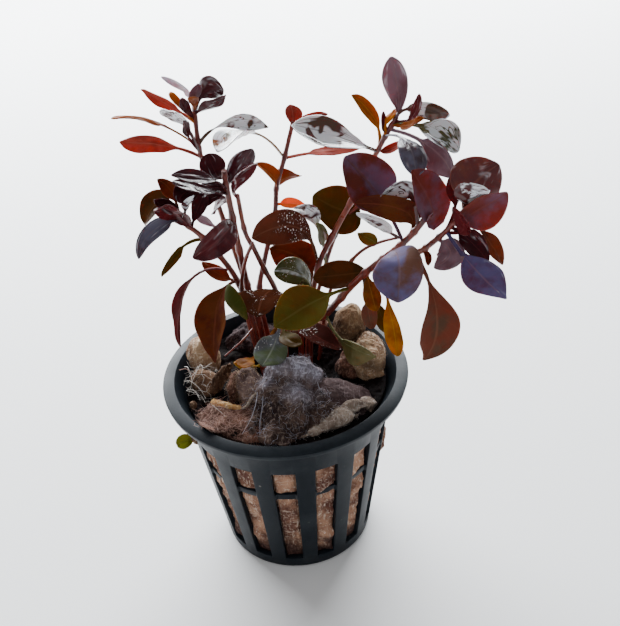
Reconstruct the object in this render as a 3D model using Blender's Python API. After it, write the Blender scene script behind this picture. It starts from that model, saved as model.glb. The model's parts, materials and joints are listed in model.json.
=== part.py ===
"""Potted red marsh plant: a slotted net pot, torn mineral wool, red stems and glossy leaves.

The origin is the centre of the pot's underside. +Z is up, and -Y is the side seen in front.
Sizes below are in millimetres, and are turned into metres where the meshes are made.
"""

import math

import bmesh
import bpy
from mathutils import Quaternion, Vector

MM = 0.001
MERGE_DISTANCE = 1e-6
GAP = 0.3

# Net pot
POT_HEIGHT = 45.5
LIP_RADIUS = 27.0
LIP_TOP_WIDTH = 2.85
LIP_DROP = 1.0
LIP_ROUND = 0.3
UNDER_LIP = POT_HEIGHT - LIP_DROP
WALL_TOP_RADIUS = 24.0
FOOT_RADIUS = 17.3
COLLAR_RADIUS = 25.25
COLLAR_HEIGHT = 41.5
FOOT_ROUND = 0.5
WALL_THICKNESS = 1.2
FLOOR_THICKNESS = 1.6
POT_STEPS = 60

# Slots in the pot's wall and floor
SLOT_COUNT = 15
SLOT_PITCH = 360 / SLOT_COUNT
SLOT_ANGLE = 13.0
SLOT_FIRST_ANGLE = -4.5
SLOT_BOTTOM = 3.5
SLOT_TOP = 35.5
CROSSBAR_BOTTOM = 26.3
CROSSBAR_TOP = 28.0
CROSSBAR_THICKNESS = 0.7
FLOOR_SLOT_COUNT = 6
FLOOR_SLOT_INNER = 6.5
FLOOR_SLOT_OUTER = 14.0
FLOOR_SLOT_WIDTH = 4.5
CUTTER_REACH = 3.0

# Mineral wool: a core in the pot, and tufts on it (centre, radii) cut off flat at the core's top
WOOL_TOP = 43.0
WOOL_STEPS = 24
WELL_PLACE = (0.5, 9.0)
WELL_RADIUS = 9.5
WELL_BOTTOM = 37.5
WELL_STEPS = 16
TUFT_BASE = WOOL_TOP + GAP
TUFTS = {
    "wool_front_tuft": ((1.5, -10.5, 44), (10, 10.5, 8.5)),
    "wool_left_tuft": ((-15.5, 4.5, 43.5), (5.5, 9.5, 5)),
    "wool_right_tuft": ((16.5, 5, 44), (5, 7.5, 9.5)),
}

# Stems: diameter at the foot, then the points that the middle of the stem passes
STEM_TAPER = 0.7
STEM_STEPS_PER_POINT = 2
STEMS = {
    "left_tall": (1.3, ((-5, 10.5, 38), (-6, 9.5, 52.5), (-7.5, 9, 65.5), (-10, 10, 78),
                        (-12.5, 12, 89.5), (-13.5, 13, 94.5), (-13.5, 14, 103))),
    "left_dark": (1.6, ((-4, 7.5, 38), (-5, 7, 54), (-6.5, 6, 64), (-7, 4, 73), (-7.5, 3, 81),
                        (-8, 2, 91), (-8, 1, 95))),
    "left_low": (1.4, ((-4.5, 4.5, 38), (-6, 4.5, 54.5), (-7.5, 4, 64), (-9, 3, 70), (-11.5, 1, 76.5),
                       (-14, -1, 82), (-16.5, -2, 85.5), (-18, -3, 88.5))),
    "left_second": (1.3, ((0, 5.5, 38), (0.5, 6, 54.5), (-0.5, 5, 63.5), (-2.5, 4, 70), (-4, 3, 75.5),
                          (-5.5, 3, 80), (-6, 1, 89.5))),
    "middle": (1.3, ((-2.5, 13, 38), (-4, 11, 50.5), (-4.5, 12, 59), (-2.5, 13, 67), (0.5, 14, 77),
                     (1.5, 15, 83.5), (3.5, 16, 89), (6, 18, 96.5))),
    "right_top": (1.4, ((3.5, 9.5, 38), (4.5, 10, 51), (7.5, 10, 59.5), (9.5, 10, 67), (13.5, 10, 75),
                        (17, 9, 82), (20, 8, 88.5), (22.5, 7, 94), (24, 6, 97.5), (26, 5, 101.5))),
    "right_inner": (1.1, ((5, 14, 38), (6, 14, 48), (9.5, 14, 59), (12, 15, 66.5), (15, 15, 73.5),
                          (19, 14, 78))),
    "right_main": (1.7, ((5, 4.5, 38), (6.5, 5, 53.5), (9.5, 4, 56.5), (13, 2, 62), (16, 0, 67),
                         (19.5, -3, 72.5), (22.5, -6, 77), (25.5, -8, 81), (28, -9, 84.5),
                         (30, -10, 88))),
    "right_low": (1.3, ((27, -10, 79.5), (28.5, -10.5, 80.5), (30.5, -12, 83), (33, -13, 86),
                        (34.5, -14, 88.5), (36.5, -14, 91))),
    "right_back": (0.9, ((7.5, 10, 38), (9.5, 11, 50), (12, 11, 60), (16.5, 9.5, 67), (19.5, 9, 70),
                         (23, 8, 72), (27, 6, 74))),
}

# Leaves: the stem, how far up it, the point that pulls the rib into a bow, the tip, the width,
# the turn about the rib in degrees, the outline, and the share of the length that is stalk
LEAVES = {
    "tall_back": ("left_tall", 0.95, (-18, 16, 103.5), (-24, 17, 106), 5, -5, "oval", 0.3),
    "tall_edge": ("left_tall", 0.87, (-21.5, 12, 103), (-29, 8, 104.5), 5, -10, "lance", 0.3),
    "tall_red": ("left_tall", 0.84, (-17.5, 13, 95.5), (-29.5, 12, 97), 7, 0, "spoon", 0.3),
    "tall_right": ("left_tall", 0.88, (-8, 12, 101.2), (1, 11, 99.2), 6, 5, "oval", 0.35),
    "dark_right": ("left_dark", 0.93, (-6.5, 2, 96), (-2.5, 3, 98.5), 7, -15, "oval", 0.2),
    "dark_glare": ("left_dark", 0.92, (-13, -3, 98.5), (-17, -7, 99), 6, 10, "oval", 0.2),
    "dark_wing": ("left_dark", 0.71, (-9.5, -4, 87.4), (-15, -11, 83.1), 9, 15, "oval", 0.08),
    "low_round": ("left_low", 0.97, (-22, 0, 96.5), (-25, -2, 86.5), 9, 5, "oval", 0.2),
    "low_droop": ("left_low", 0.97, (-21.5, -8, 91.5), (-25, -12, 84.5), 6, -5, "oval", 0.3),
    "low_slip": ("left_low", 0.83, (-18.5, -2, 82.5), (-22.5, -6, 76), 4.5, -15, "lance", 0.45),
    "low_hanging": ("left_low", 0.62, (-22.5, 0, 76), (-21, -6, 58.5), 5, -5, "lance", 0.5),
    "low_big": ("left_low", 0.56, (-15.5, 0, 68.5), (-14.5, -5, 53), 8, 15, "oval", 0.22),
    "middle_glare": ("middle", 0.87, (0, 17, 98.9), (-12, 13, 93.9), 8.5, 5, "oval", 0.32),
    "middle_right": ("middle", 0.87, (9, 17, 91.5), (19.5, 18, 89.5), 5, 0, "oval", 0.4),
    "speckled": ("right_top", 0.41, (14, 7, 84.5), (-4.5, 1, 79.5), 10, 135, "oval", 0.3),
    "middle_brown": ("right_top", 0.31, (5, 12, 66), (-1, 13, 69.5), 9, 0, "oval", 0.15),
    "top_pointing": ("right_top", 0.87, (16, 4, 100), (6.5, 2, 104.5), 8, 35, "oval", 0.2),
    "top_orange": ("right_top", 0.88, (22.5, 8, 100.5), (18, 9, 105), 5, 35, "oval", 0.3),
    "top_upright": ("right_top", 1.0, (27, 7, 106.5), (25.5, 9, 112), 5.8, 5, "spoon", 0.15),
    "top_spotted": ("right_top", 0.99, (31, 4, 105), (35.5, 3, 101.9), 5.5, -10, "oval", 0.2),
    "top_olive": ("right_top", 0.975, (32.8, 1, 103.3), (37, -2, 97.2), 8, -15, "oval", 0.25),
    "top_blue": ("right_top", 0.93, (28.5, 0, 100.5), (27, -6, 94.5), 7, 35, "oval", 0.25),
    "top_purple": ("right_top", 0.955, (33, -2, 102), (33, -6, 92.6), 7.5, 20, "oval", 0.3),
    "round_purple": ("right_main", 0.86, (26.2, -6, 92), (15, -4, 98), 11, 0, "spoon", 0.3),
    "brown_front": ("right_main", 0.885, (28, -9, 91.7), (15, -9, 91.4), 8, -90, "oval", 0.3),
    "olive_back": ("right_inner", 0.99, (15, 15, 74.8), (9, 14, 80.8), 11, 35, "spoon", 0.08),
    "upright_red": ("right_main", 0.98, (30.5, -11, 91.6), (32, -10, 97.6), 8.5, 15, "oval", 0.12),
    "near_round": ("right_main", 0.76, (21.5, -14, 87.5), (24, -20, 75.5), 11.5, 5, "spoon", 0.12),
    "orange_hanging": ("right_main", 0.71, (22, -6, 69), (25, -3, 49.5), 5.5, 0, "spoon", 0.4),
    "cluster_round": ("right_low", 0.97, (36.5, -11, 97), (43.5, -9, 95.5), 10, 20, "spoon", 0.15),
    "cluster_pointed": ("right_low", 0.77, (37.5, -15.5, 92.3), (43.5, -15, 94), 8, -25, "oval", 0.1),
    "cluster_grey": ("right_low", 0.49, (33, -18, 89.5), (31, -20, 81.5), 7, -40, "spoon", 0.12),
    "cluster_blue": ("right_low", 0.64, (37.5, -18, 83), (43.5, -20, 74.5), 9.5, -10, "spoon", 0.15),
    "cluster_hanging": ("right_low", 0.13, (37.5, -13, 70), (29, -14, 56.5), 10.5, -50, "spoon", 0.25),
    "front_wide": ("left_second", 0.49, (-2.5, -2, 72), (-3.5, -7, 64), 11, -5, "oval", 0.08),
    "front_round": ("right_main", 0.52, (8, -6, 76.4), (-0.5, -11.5, 66.2), 10, 15, "spoon", 0.25),
    "front_green": ("right_top", 0.31, (8.5, 4, 71.5), (0, 1, 71.5), 9, 85, "oval", 0.12),
    "front_brown": ("right_main", 0.64, (13.5, 3.5, 72.6), (8, 5.5, 65.6), 9, 15, "oval", 0.12),
    "front_wet": ("right_main", 0.28, (3.5, -2, 61), (12.5, -9, 57), 8, 15, "lance", 0.1),
    "front_folded": ("right_main", 0.35, (13.5, -3, 54.5), (20, -9, 54.5), 8, 10, "lance", 0.15),
}
LEAF_THICKNESS = 0.5
EDGE_THICKNESS = 0.3
STALK_RADIUS = 0.3
TIP_THINNING = 0.6

# Growing tips: each is a plain bud where a tuft of the smallest leaves sits
BUD_THICKNESS = 1.6
BUDS = {
    "left_tall": ("left_tall", 1.0, (-13, 13.5, 107), (-12, 12.5, 110), 4.5, 0, "oval", 0.05),
    "left_dark": ("left_dark", 1.0, (-8.5, 1, 98), (-9, 1.5, 101), 4, 0, "oval", 0.05),
    "left_low": ("left_low", 1.0, (-19, -3.5, 91.5), (-19.5, -4.5, 95), 4, 0, "oval", 0.05),
    "middle": ("middle", 1.0, (6, 18, 99), (6, 18, 101.5), 4, 0, "oval", 0.05),
    "right_low": ("right_low", 1.0, (37, -14.5, 93), (37.5, -15, 95.5), 3.5, 0, "oval", 0.05),
}

# Half widths along a blade, from its stalk to near its tip, as shares of the widest
OUTLINES = {
    "spoon": ((0, 0.06), (0.2, 0.34), (0.35, 0.66), (0.5, 0.9), (0.65, 1.0), (0.8, 0.94), (0.93, 0.62)),
    "oval": ((0, 0.07), (0.15, 0.5), (0.33, 0.88), (0.5, 1.0), (0.67, 0.92), (0.82, 0.68), (0.94, 0.32)),
    "lance": ((0, 0.07), (0.12, 0.4), (0.27, 0.84), (0.42, 1.0), (0.58, 0.9), (0.75, 0.62), (0.9, 0.26)),
}
RIB_STEPS = 48


def clear_scene():
    for old in list(bpy.data.objects):
        bpy.data.objects.remove(old, do_unlink=True)


def make_material(name, colour, roughness):
    material = bpy.data.materials.new(name)
    material.use_nodes = True
    shader = material.node_tree.nodes["Principled BSDF"]
    shader.inputs["Base Color"].default_value = (*colour, 1.0)
    shader.inputs["Roughness"].default_value = roughness
    shader.inputs["Metallic"].default_value = 0.0
    return material


def add_object(name, data, material=None):
    if material:
        data.materials.append(material)
    made = bpy.data.objects.new(name, data)
    bpy.context.collection.objects.link(made)
    return made


def mesh_from(bm, name, smooth_angle):
    """Turn bm into a mesh whose faces point out, smooth but for edges sharper than the angle."""
    bmesh.ops.recalc_face_normals(bm, faces=bm.faces)
    mesh = bpy.data.meshes.new(name)
    bm.to_mesh(mesh)
    bm.free()
    mesh.shade_smooth()
    mesh.set_sharp_from_angle(angle=math.radians(smooth_angle))
    return mesh


def turned_mesh(name, profile, steps):
    """A closed body turned about Z from (radius, height) points that start and end on the axis."""
    bm = bmesh.new()
    verts = [bm.verts.new((radius * MM, 0, height * MM)) for radius, height in profile]
    edges = [bm.edges.new(pair) for pair in zip(verts, verts[1:])]
    bmesh.ops.spin(bm, geom=verts + edges, cent=(0, 0, 0), axis=(0, 0, 1), angle=math.tau,
                   steps=steps, use_merge=True)
    bmesh.ops.remove_doubles(bm, verts=bm.verts, dist=MERGE_DISTANCE)
    return mesh_from(bm, name, smooth_angle=35)


def wall_radius(height):
    """Outer radius of the pot's wall at a height, with the wall below the collar carried on up."""
    return FOOT_RADIUS + (WALL_TOP_RADIUS - FOOT_RADIUS) * height / UNDER_LIP


def add_prism(bm, outline, depth):
    """Add a prism to bm, from an outline in XZ, with half its depth on either side of Y = 0."""
    front = [bm.verts.new((x * MM, -depth / 2 * MM, z * MM)) for x, z in outline]
    grown = bmesh.ops.extrude_face_region(bm, geom=[bm.faces.new(front)])
    back = [item for item in grown["geom"] if isinstance(item, bmesh.types.BMVert)]
    bmesh.ops.translate(bm, verts=back, vec=(0, depth * MM, 0))
    return front + back


def turn_verts(verts, degrees):
    turn = Quaternion((0, 0, 1), math.radians(degrees))
    for vert in verts:
        vert.co.rotate(turn)


def add_wall_slot(bm, angle):
    """One tapered slot: all through the wall below and above the crossbar, and outside it."""
    inner = {z: wall_radius(z) - WALL_THICKNESS - CUTTER_REACH
             for z in (SLOT_BOTTOM, CROSSBAR_BOTTOM, CROSSBAR_TOP, SLOT_TOP)}
    outer = {z: wall_radius(z) + CUTTER_REACH for z in (SLOT_BOTTOM, SLOT_TOP)}
    bar = {z: wall_radius(z) - WALL_THICKNESS + CROSSBAR_THICKNESS
           for z in (CROSSBAR_BOTTOM, CROSSBAR_TOP)}
    outline = (
        (inner[SLOT_BOTTOM], SLOT_BOTTOM),
        (outer[SLOT_BOTTOM], SLOT_BOTTOM),
        (outer[SLOT_TOP], SLOT_TOP),
        (inner[SLOT_TOP], SLOT_TOP),
        (inner[CROSSBAR_TOP], CROSSBAR_TOP),
        (bar[CROSSBAR_TOP], CROSSBAR_TOP),
        (bar[CROSSBAR_BOTTOM], CROSSBAR_BOTTOM),
        (inner[CROSSBAR_BOTTOM], CROSSBAR_BOTTOM),
    )
    verts = add_prism(bm, outline, depth=1)
    slope = math.tan(math.radians(SLOT_ANGLE / 2))
    for vert in verts:
        vert.co.y = math.copysign(vert.co.x * slope, vert.co.y)
    turn_verts(verts, angle - 90)


def add_floor_slot(bm, angle):
    low = -CUTTER_REACH
    high = FLOOR_THICKNESS + CUTTER_REACH
    outline = ((FLOOR_SLOT_INNER, low), (FLOOR_SLOT_OUTER, low), (FLOOR_SLOT_OUTER, high),
               (FLOOR_SLOT_INNER, high))
    turn_verts(add_prism(bm, outline, FLOOR_SLOT_WIDTH), angle)


def cut(target, name, bm):
    """Cut the shape in bm out of the target."""
    cutter = add_object(name, mesh_from(bm, name, smooth_angle=35))
    cutter.hide_render = True
    cutter.display_type = "WIRE"
    boolean = target.modifiers.new(name, "BOOLEAN")
    boolean.operation = "DIFFERENCE"
    boolean.solver = "EXACT"
    boolean.object = cutter


def make_pot(material):
    lip_inner = LIP_RADIUS - LIP_TOP_WIDTH
    profile = (
        (0, FLOOR_THICKNESS),
        (wall_radius(FLOOR_THICKNESS) - WALL_THICKNESS, FLOOR_THICKNESS),
        (wall_radius(COLLAR_HEIGHT) - WALL_THICKNESS, COLLAR_HEIGHT),
        (COLLAR_RADIUS - WALL_THICKNESS, UNDER_LIP - LIP_ROUND),
        (lip_inner, POT_HEIGHT - LIP_ROUND),
        (lip_inner + LIP_ROUND, POT_HEIGHT),
        (LIP_RADIUS - LIP_ROUND, POT_HEIGHT),
        (LIP_RADIUS, POT_HEIGHT - LIP_ROUND),
        (LIP_RADIUS, UNDER_LIP + LIP_ROUND),
        (LIP_RADIUS - LIP_ROUND, UNDER_LIP),
        (COLLAR_RADIUS, UNDER_LIP),
        (wall_radius(COLLAR_HEIGHT), COLLAR_HEIGHT),
        (wall_radius(FOOT_ROUND), FOOT_ROUND),
        (FOOT_RADIUS - FOOT_ROUND, 0),
        (0, 0),
    )
    pot = add_object("net_pot", turned_mesh("net_pot", profile, POT_STEPS), material)
    bm = bmesh.new()
    for index in range(SLOT_COUNT):
        add_wall_slot(bm, SLOT_FIRST_ANGLE + index * SLOT_PITCH)
    cut(pot, "wall_slots", bm)
    bm = bmesh.new()
    for index in range(FLOOR_SLOT_COUNT):
        add_floor_slot(bm, index * 360 / FLOOR_SLOT_COUNT)
    cut(pot, "floor_slots", bm)


def make_wool_core(material):
    """The wool that fills the pot, with a well in its top for the feet of the stems."""
    clearance = WALL_THICKNESS + GAP
    bottom = FLOOR_THICKNESS + GAP
    profile = (
        (0, bottom),
        (wall_radius(bottom) - clearance, bottom),
        (wall_radius(WOOL_TOP) - clearance, WOOL_TOP),
        (0, WOOL_TOP),
    )
    core = add_object("wool_core", turned_mesh("wool_core", profile, WOOL_STEPS), material)
    bm = bmesh.new()
    depth = (WOOL_TOP - WELL_BOTTOM) * 2
    bmesh.ops.create_cone(bm, cap_ends=True, segments=WELL_STEPS, radius1=WELL_RADIUS * MM,
                          radius2=WELL_RADIUS * MM, depth=depth * MM)
    bmesh.ops.translate(bm, verts=bm.verts, vec=Vector((*WELL_PLACE, WOOL_TOP)) * MM)
    cut(core, "well", bm)


def make_tuft(name, centre, radii, material):
    """A torn tuft of wool with a flat underside."""
    bm = bmesh.new()
    bmesh.ops.create_icosphere(bm, subdivisions=2, radius=1.0)
    bmesh.ops.scale(bm, verts=bm.verts, vec=Vector(radii) * MM)
    bmesh.ops.translate(bm, verts=bm.verts, vec=Vector(centre) * MM)
    everything = bm.verts[:] + bm.edges[:] + bm.faces[:]
    cut_through = bmesh.ops.bisect_plane(bm, geom=everything, plane_co=(0, 0, TUFT_BASE * MM),
                                         plane_no=(0, 0, 1), clear_inner=True)
    rim = [item for item in cut_through["geom_cut"] if isinstance(item, bmesh.types.BMEdge)]
    bmesh.ops.edgeloop_fill(bm, edges=rim)
    bmesh.ops.triangulate(bm, faces=bm.faces)
    add_object(name, mesh_from(bm, name, smooth_angle=40), material)


def stem_route(stem):
    """Points along a smooth curve through the stem's own points."""
    knots = [Vector(point) for point in STEMS[stem][1]]
    knots = [2 * knots[0] - knots[1]] + knots + [2 * knots[-1] - knots[-2]]
    route = []
    for before, start, end, after in zip(knots, knots[1:], knots[2:], knots[3:]):
        for step in range(STEM_STEPS_PER_POINT):
            t = step / STEM_STEPS_PER_POINT
            route.append(0.5 * (2 * start + (end - before) * t
                                + (2 * before - 5 * start + 4 * end - after) * t ** 2
                                + (3 * start - before - 3 * end + after) * t ** 3))
    route.append(knots[-2])
    return route


def radius_share(share):
    """How thick a stem still is, as a share of its foot."""
    return 1 - (1 - STEM_TAPER) * share


def walk(points, share):
    """The number of the stretch at a share of the whole way along points, and how far into it."""
    lengths = [(end - start).length for start, end in zip(points, points[1:])]
    left = share * sum(lengths)
    for number, length in enumerate(lengths):
        if left <= length:
            return number, left / length
        left -= length
    return len(lengths) - 1, 1.0


def make_stem(stem, material):
    diameter = STEMS[stem][0]
    route = stem_route(stem)
    curve = bpy.data.curves.new(stem, "CURVE")
    curve.dimensions = "3D"
    curve.bevel_depth = diameter / 2 * MM
    curve.bevel_resolution = 1
    curve.use_fill_caps = True
    spline = curve.splines.new("POLY")
    spline.points.add(len(route) - 1)
    for index, point in enumerate(route):
        spline.points[index].co = (*(point * MM), 1)
        spline.points[index].radius = radius_share(index / (len(route) - 1))
    add_object(f"{stem}_stem", curve, material)


def leaf_start(stem, share, bend):
    """Where a leaf's stalk starts, just clear of its stem on the side that the leaf bends to."""
    route = stem_route(stem)
    number, mix = walk(route, share)
    node = route[number].lerp(route[number + 1], mix)
    along = (route[number + 1] - route[number]).normalized()
    out = bend - node
    if share < 1:
        out -= out.dot(along) * along
    radius = STEMS[stem][0] / 2 * radius_share(share)
    return node + out.normalized() * (radius + GAP + STALK_RADIUS)


def rib_frames(start, bend, tip):
    """Points along a leaf's bowed rib, with the directions to its side and upwards at each."""
    points = []
    for step in range(RIB_STEPS + 1):
        t = step / RIB_STEPS
        points.append((1 - t) ** 2 * start + 2 * t * (1 - t) * bend + t ** 2 * tip)
    sides = []
    ups = []
    up = Vector((0, 0, 1))
    last = None
    for index in range(len(points)):
        along = (points[min(index + 1, RIB_STEPS)] - points[max(index - 1, 0)]).normalized()
        if last is not None:
            up = last.rotation_difference(along) @ up
        up = (up - up.dot(along) * along).normalized()
        sides.append(along.cross(up))
        ups.append(up)
        last = along
    return points, sides, ups


def leaf_rows(width, thickness, outline, stalk):
    """Place along the rib, half width and half thickness of each row of a leaf."""
    rows = [(0, STALK_RADIUS, STALK_RADIUS), (stalk / 2, STALK_RADIUS, STALK_RADIUS)]
    for place, part in OUTLINES[outline]:
        half_width = max(part * width / 2, STALK_RADIUS)
        half_thickness = max(thickness * (1 - TIP_THINNING * place), EDGE_THICKNESS) / 2
        rows.append((stalk + (1 - stalk) * place, half_width, half_thickness))
    return rows


def make_leaf(name, leaf, thickness, material):
    """A stalk and a blade in one closed body, thick at the rib and thin at the edge."""
    stem, share, bend, tip, width, roll, outline, stalk = leaf
    bend = Vector(bend)
    points, sides, ups = rib_frames(leaf_start(stem, share, bend), bend, Vector(tip))
    turn = math.radians(roll)
    bm = bmesh.new()
    last = None
    for place, half_width, half_thickness in leaf_rows(width, thickness, outline, stalk):
        number, mix = walk(points, place)
        centre, side, up = (line[number].lerp(line[number + 1], mix) for line in (points, sides, ups))
        across = (side * math.cos(turn) + up * math.sin(turn)) * half_width
        upward = (up * math.cos(turn) - side * math.sin(turn)) * half_thickness
        ring = [bm.verts.new((centre + corner) * MM) for corner in (across, upward, -across, -upward)]
        if last is None:
            bm.faces.new(ring)
        else:
            for index in range(len(ring)):
                other = (index + 1) % len(ring)
                bm.faces.new((last[index], last[other], ring[other], ring[index]))
        last = ring
    point = bm.verts.new(points[-1] * MM)
    for index in range(len(last)):
        bm.faces.new((last[index], last[(index + 1) % len(last)], point))
    bmesh.ops.triangulate(bm, faces=bm.faces)
    add_object(name, mesh_from(bm, name, smooth_angle=50), material)


def main():
    clear_scene()
    plastic = make_material("pot_plastic", (0.03, 0.035, 0.05), roughness=0.45)
    wool = make_material("mineral_wool", (0.35, 0.22, 0.14), roughness=0.95)
    stem_skin = make_material("stem_skin", (0.3, 0.04, 0.02), roughness=0.4)
    leaf_skin = make_material("leaf_skin", (0.14, 0.03, 0.025), roughness=0.3)
    make_pot(plastic)
    make_wool_core(wool)
    for name, (centre, radii) in TUFTS.items():
        make_tuft(name, centre, radii, wool)
    for stem in STEMS:
        make_stem(stem, stem_skin)
    for name, leaf in LEAVES.items():
        make_leaf(f"{name}_leaf", leaf, LEAF_THICKNESS, leaf_skin)
    for name, bud in BUDS.items():
        make_leaf(f"{name}_bud", bud, BUD_THICKNESS, leaf_skin)


main()
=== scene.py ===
"""Looks of a potted red marsh plant: pot, torn wool, stems, leaves and loose fibres, on a pale floor.

Lengths are in metres, and MM turns the plant's own millimetre measures into them. +Z is up and -Y
is the side seen in front. Run it as a script: it models each piece, gives it its finish and sets
the camera and the lights.
"""

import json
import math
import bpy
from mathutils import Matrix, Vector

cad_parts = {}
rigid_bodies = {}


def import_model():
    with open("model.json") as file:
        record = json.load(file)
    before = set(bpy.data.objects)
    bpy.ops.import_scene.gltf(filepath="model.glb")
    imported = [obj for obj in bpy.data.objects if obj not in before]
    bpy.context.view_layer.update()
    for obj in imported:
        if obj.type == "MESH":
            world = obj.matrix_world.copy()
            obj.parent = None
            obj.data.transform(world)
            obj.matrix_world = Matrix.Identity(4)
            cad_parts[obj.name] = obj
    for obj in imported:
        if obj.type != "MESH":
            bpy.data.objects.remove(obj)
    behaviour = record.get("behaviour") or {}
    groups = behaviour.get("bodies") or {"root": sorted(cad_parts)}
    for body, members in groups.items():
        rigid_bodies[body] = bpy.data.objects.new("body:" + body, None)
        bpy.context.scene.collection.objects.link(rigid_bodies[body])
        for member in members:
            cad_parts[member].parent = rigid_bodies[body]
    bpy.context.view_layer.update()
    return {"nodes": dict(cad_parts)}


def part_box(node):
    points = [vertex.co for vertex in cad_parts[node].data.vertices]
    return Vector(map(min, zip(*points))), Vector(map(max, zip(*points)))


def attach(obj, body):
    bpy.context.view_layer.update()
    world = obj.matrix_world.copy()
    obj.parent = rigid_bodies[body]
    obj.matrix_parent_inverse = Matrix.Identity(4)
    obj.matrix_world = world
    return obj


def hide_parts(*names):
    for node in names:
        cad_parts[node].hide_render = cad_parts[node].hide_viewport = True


bl_info = {
    "name": "Potted Red Marsh Plant",
    "version": (1, 0, 0),
    "blender": (4, 5, 0),
    "location": "3D View > Sidebar > Plant",
    "description": "Models a potted red marsh plant, piece by piece, with its finishes and its stage",
    "category": "Add Mesh",
}

import bpy
from bpy.props import FloatProperty, FloatVectorProperty, IntProperty, PointerProperty
from mathutils import Quaternion, Vector

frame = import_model()

MM = 0.001
BODY = "root"
MERGE_DISTANCE = 1e-6
POT_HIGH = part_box("net_pot")[1]
LIP_RADIUS = POT_HIGH.x
POT_HEIGHT = POT_HIGH.z

# Photograph: its size in pixels, and the camera that its lip and foot ellipses give
PHOTO_WIDTH = 620
PHOTO_HEIGHT = 626
CAMERA_ELEVATION = 0.61702
CAMERA_ROLL = -0.07651
CAMERA_DISTANCE = 0.20543
CAMERA_TARGET = (0.006476, 0.0, 0.06046)
FOCAL_PIXELS = 962.56
SENSOR = 36.0
CAMERA_CLIP = (0.01, 50)

# Stems: diameter at the foot, then the points that the middle of the stem passes, in millimetres
STEMS = {
    "left_tall": (1.3, ((-5, 10.5, 38), (-6, 9.5, 52.5), (-7.5, 9, 65.5), (-10, 10, 78),
        (-12.5, 12, 89.5), (-13.5, 13, 94.5), (-13.5, 14, 103))),
    "left_dark": (1.6, ((-4, 7.5, 38), (-5, 7, 54), (-6.5, 6, 64), (-7, 4, 73), (-7.5, 3, 81),
        (-8, 2, 91), (-8, 1, 95))),
    "left_low": (1.4, ((-4.5, 4.5, 38), (-6, 4.5, 54.5), (-7.5, 4, 64), (-9, 3, 70), (-11.5, 1, 76.5),
        (-14, -1, 82), (-16.5, -2, 85.5), (-18, -3, 88.5))),
    "left_second": (1.3, ((0, 5.5, 38), (0.5, 6, 54.5), (-0.5, 5, 63.5), (-2.5, 4, 70), (-4, 3, 75.5),
        (-5.5, 3, 80), (-6, 1, 89.5))),
    "left_inner": (1.0, ((-5, 3.5, 42), (-7, 3, 57), (-7.5, 2, 67), (-6, 1, 74), (-4, 0, 79))),
    "middle": (1.3, ((-2.5, 13, 38), (-4, 11, 50.5), (-4.5, 12, 59), (-2.5, 13, 67), (0.5, 14, 77),
        (1.5, 15, 83.5), (3.5, 16, 89), (6, 18, 96.5))),
    "right_top": (1.4, ((3.5, 9.5, 38), (4.5, 10, 51), (7.5, 10, 59.5), (9.5, 10, 67), (13.5, 10, 75),
        (17, 9, 82), (20, 8, 88.5), (22.5, 7, 94), (24, 6, 97.5), (26, 5, 101.5))),
    "right_inner": (1.1, ((5, 14, 38), (6, 14, 48), (9.5, 14, 59), (12, 15, 66.5), (15, 15, 73.5),
        (19, 14, 78))),
    "right_main": (1.7, ((5, 4.5, 38), (6.5, 5, 53.5), (9.5, 4, 56.5), (13, 2, 62), (16, 0, 67),
        (19.5, -3, 72.5), (22.5, -6, 77), (25.5, -8, 81), (28, -9, 84.5), (30, -10, 88))),
    "right_low": (1.3, ((26, -8.6, 79.5), (28.5, -10.5, 80.5), (30.5, -12, 83), (33, -13, 86),
        (34.5, -14, 88.5), (36.5, -14, 91))),
    "right_back": (0.9, ((7.5, 10, 38), (9.5, 11, 50), (12, 11, 60), (16.5, 9.5, 67), (19.5, 9, 70),
        (23, 8, 72), (27, 6, 74))),
    "slot_shoot": (0.7, ((-18.6, -6.6, 34.6), (-20.2, -7.6, 34.4), (-21, -8, 33.8))),
    "wool_shoot": (0.6, ((-2.4, -3.4, 47.4), (-3.4, -3.1, 48.8), (-5.2, -3, 49.6))),
    "dry_stalk": (0.5, ((-6, 0.5, 57.2), (-7.9, -1, 55.9), (-10, -1.5, 54.2), (-12.6, -2, 52.2))),
}
# Where along each stem its nodes are, as shares of its length
STEM_NODES = {
    "left_tall": (0.3, 0.5, 0.68, 0.84, 0.88, 0.95),
    "left_dark": (0.35, 0.55, 0.71, 0.85, 0.92),
    "left_low": (0.35, 0.56, 0.7, 0.83, 0.97),
    "left_second": (0.3, 0.49, 0.7, 0.85),
    "left_inner": (0.5, 0.8),
    "middle": (0.3, 0.5, 0.7, 0.87),
    "right_top": (0.31, 0.41, 0.55, 0.7, 0.88, 0.95),
    "right_inner": (0.4, 0.7),
    "right_main": (0.35, 0.52, 0.64, 0.76, 0.87),
    "right_low": (0.3, 0.5, 0.77),
    "right_back": (0.5, 0.75),
    "slot_shoot": (),
    "wool_shoot": (),
    "dry_stalk": (),
}
# How thick a stem ends as a share of its foot, how much a node swells and how far along the stem, and
# the steps between two points: for the stem itself, and for finding where its leaves start
STEM_TAPER = 0.7
NODE_SWELLING = 0.35
NODE_REACH = 0.014
STEM_STEPS = 8
FOOT_STEPS = 2

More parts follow.
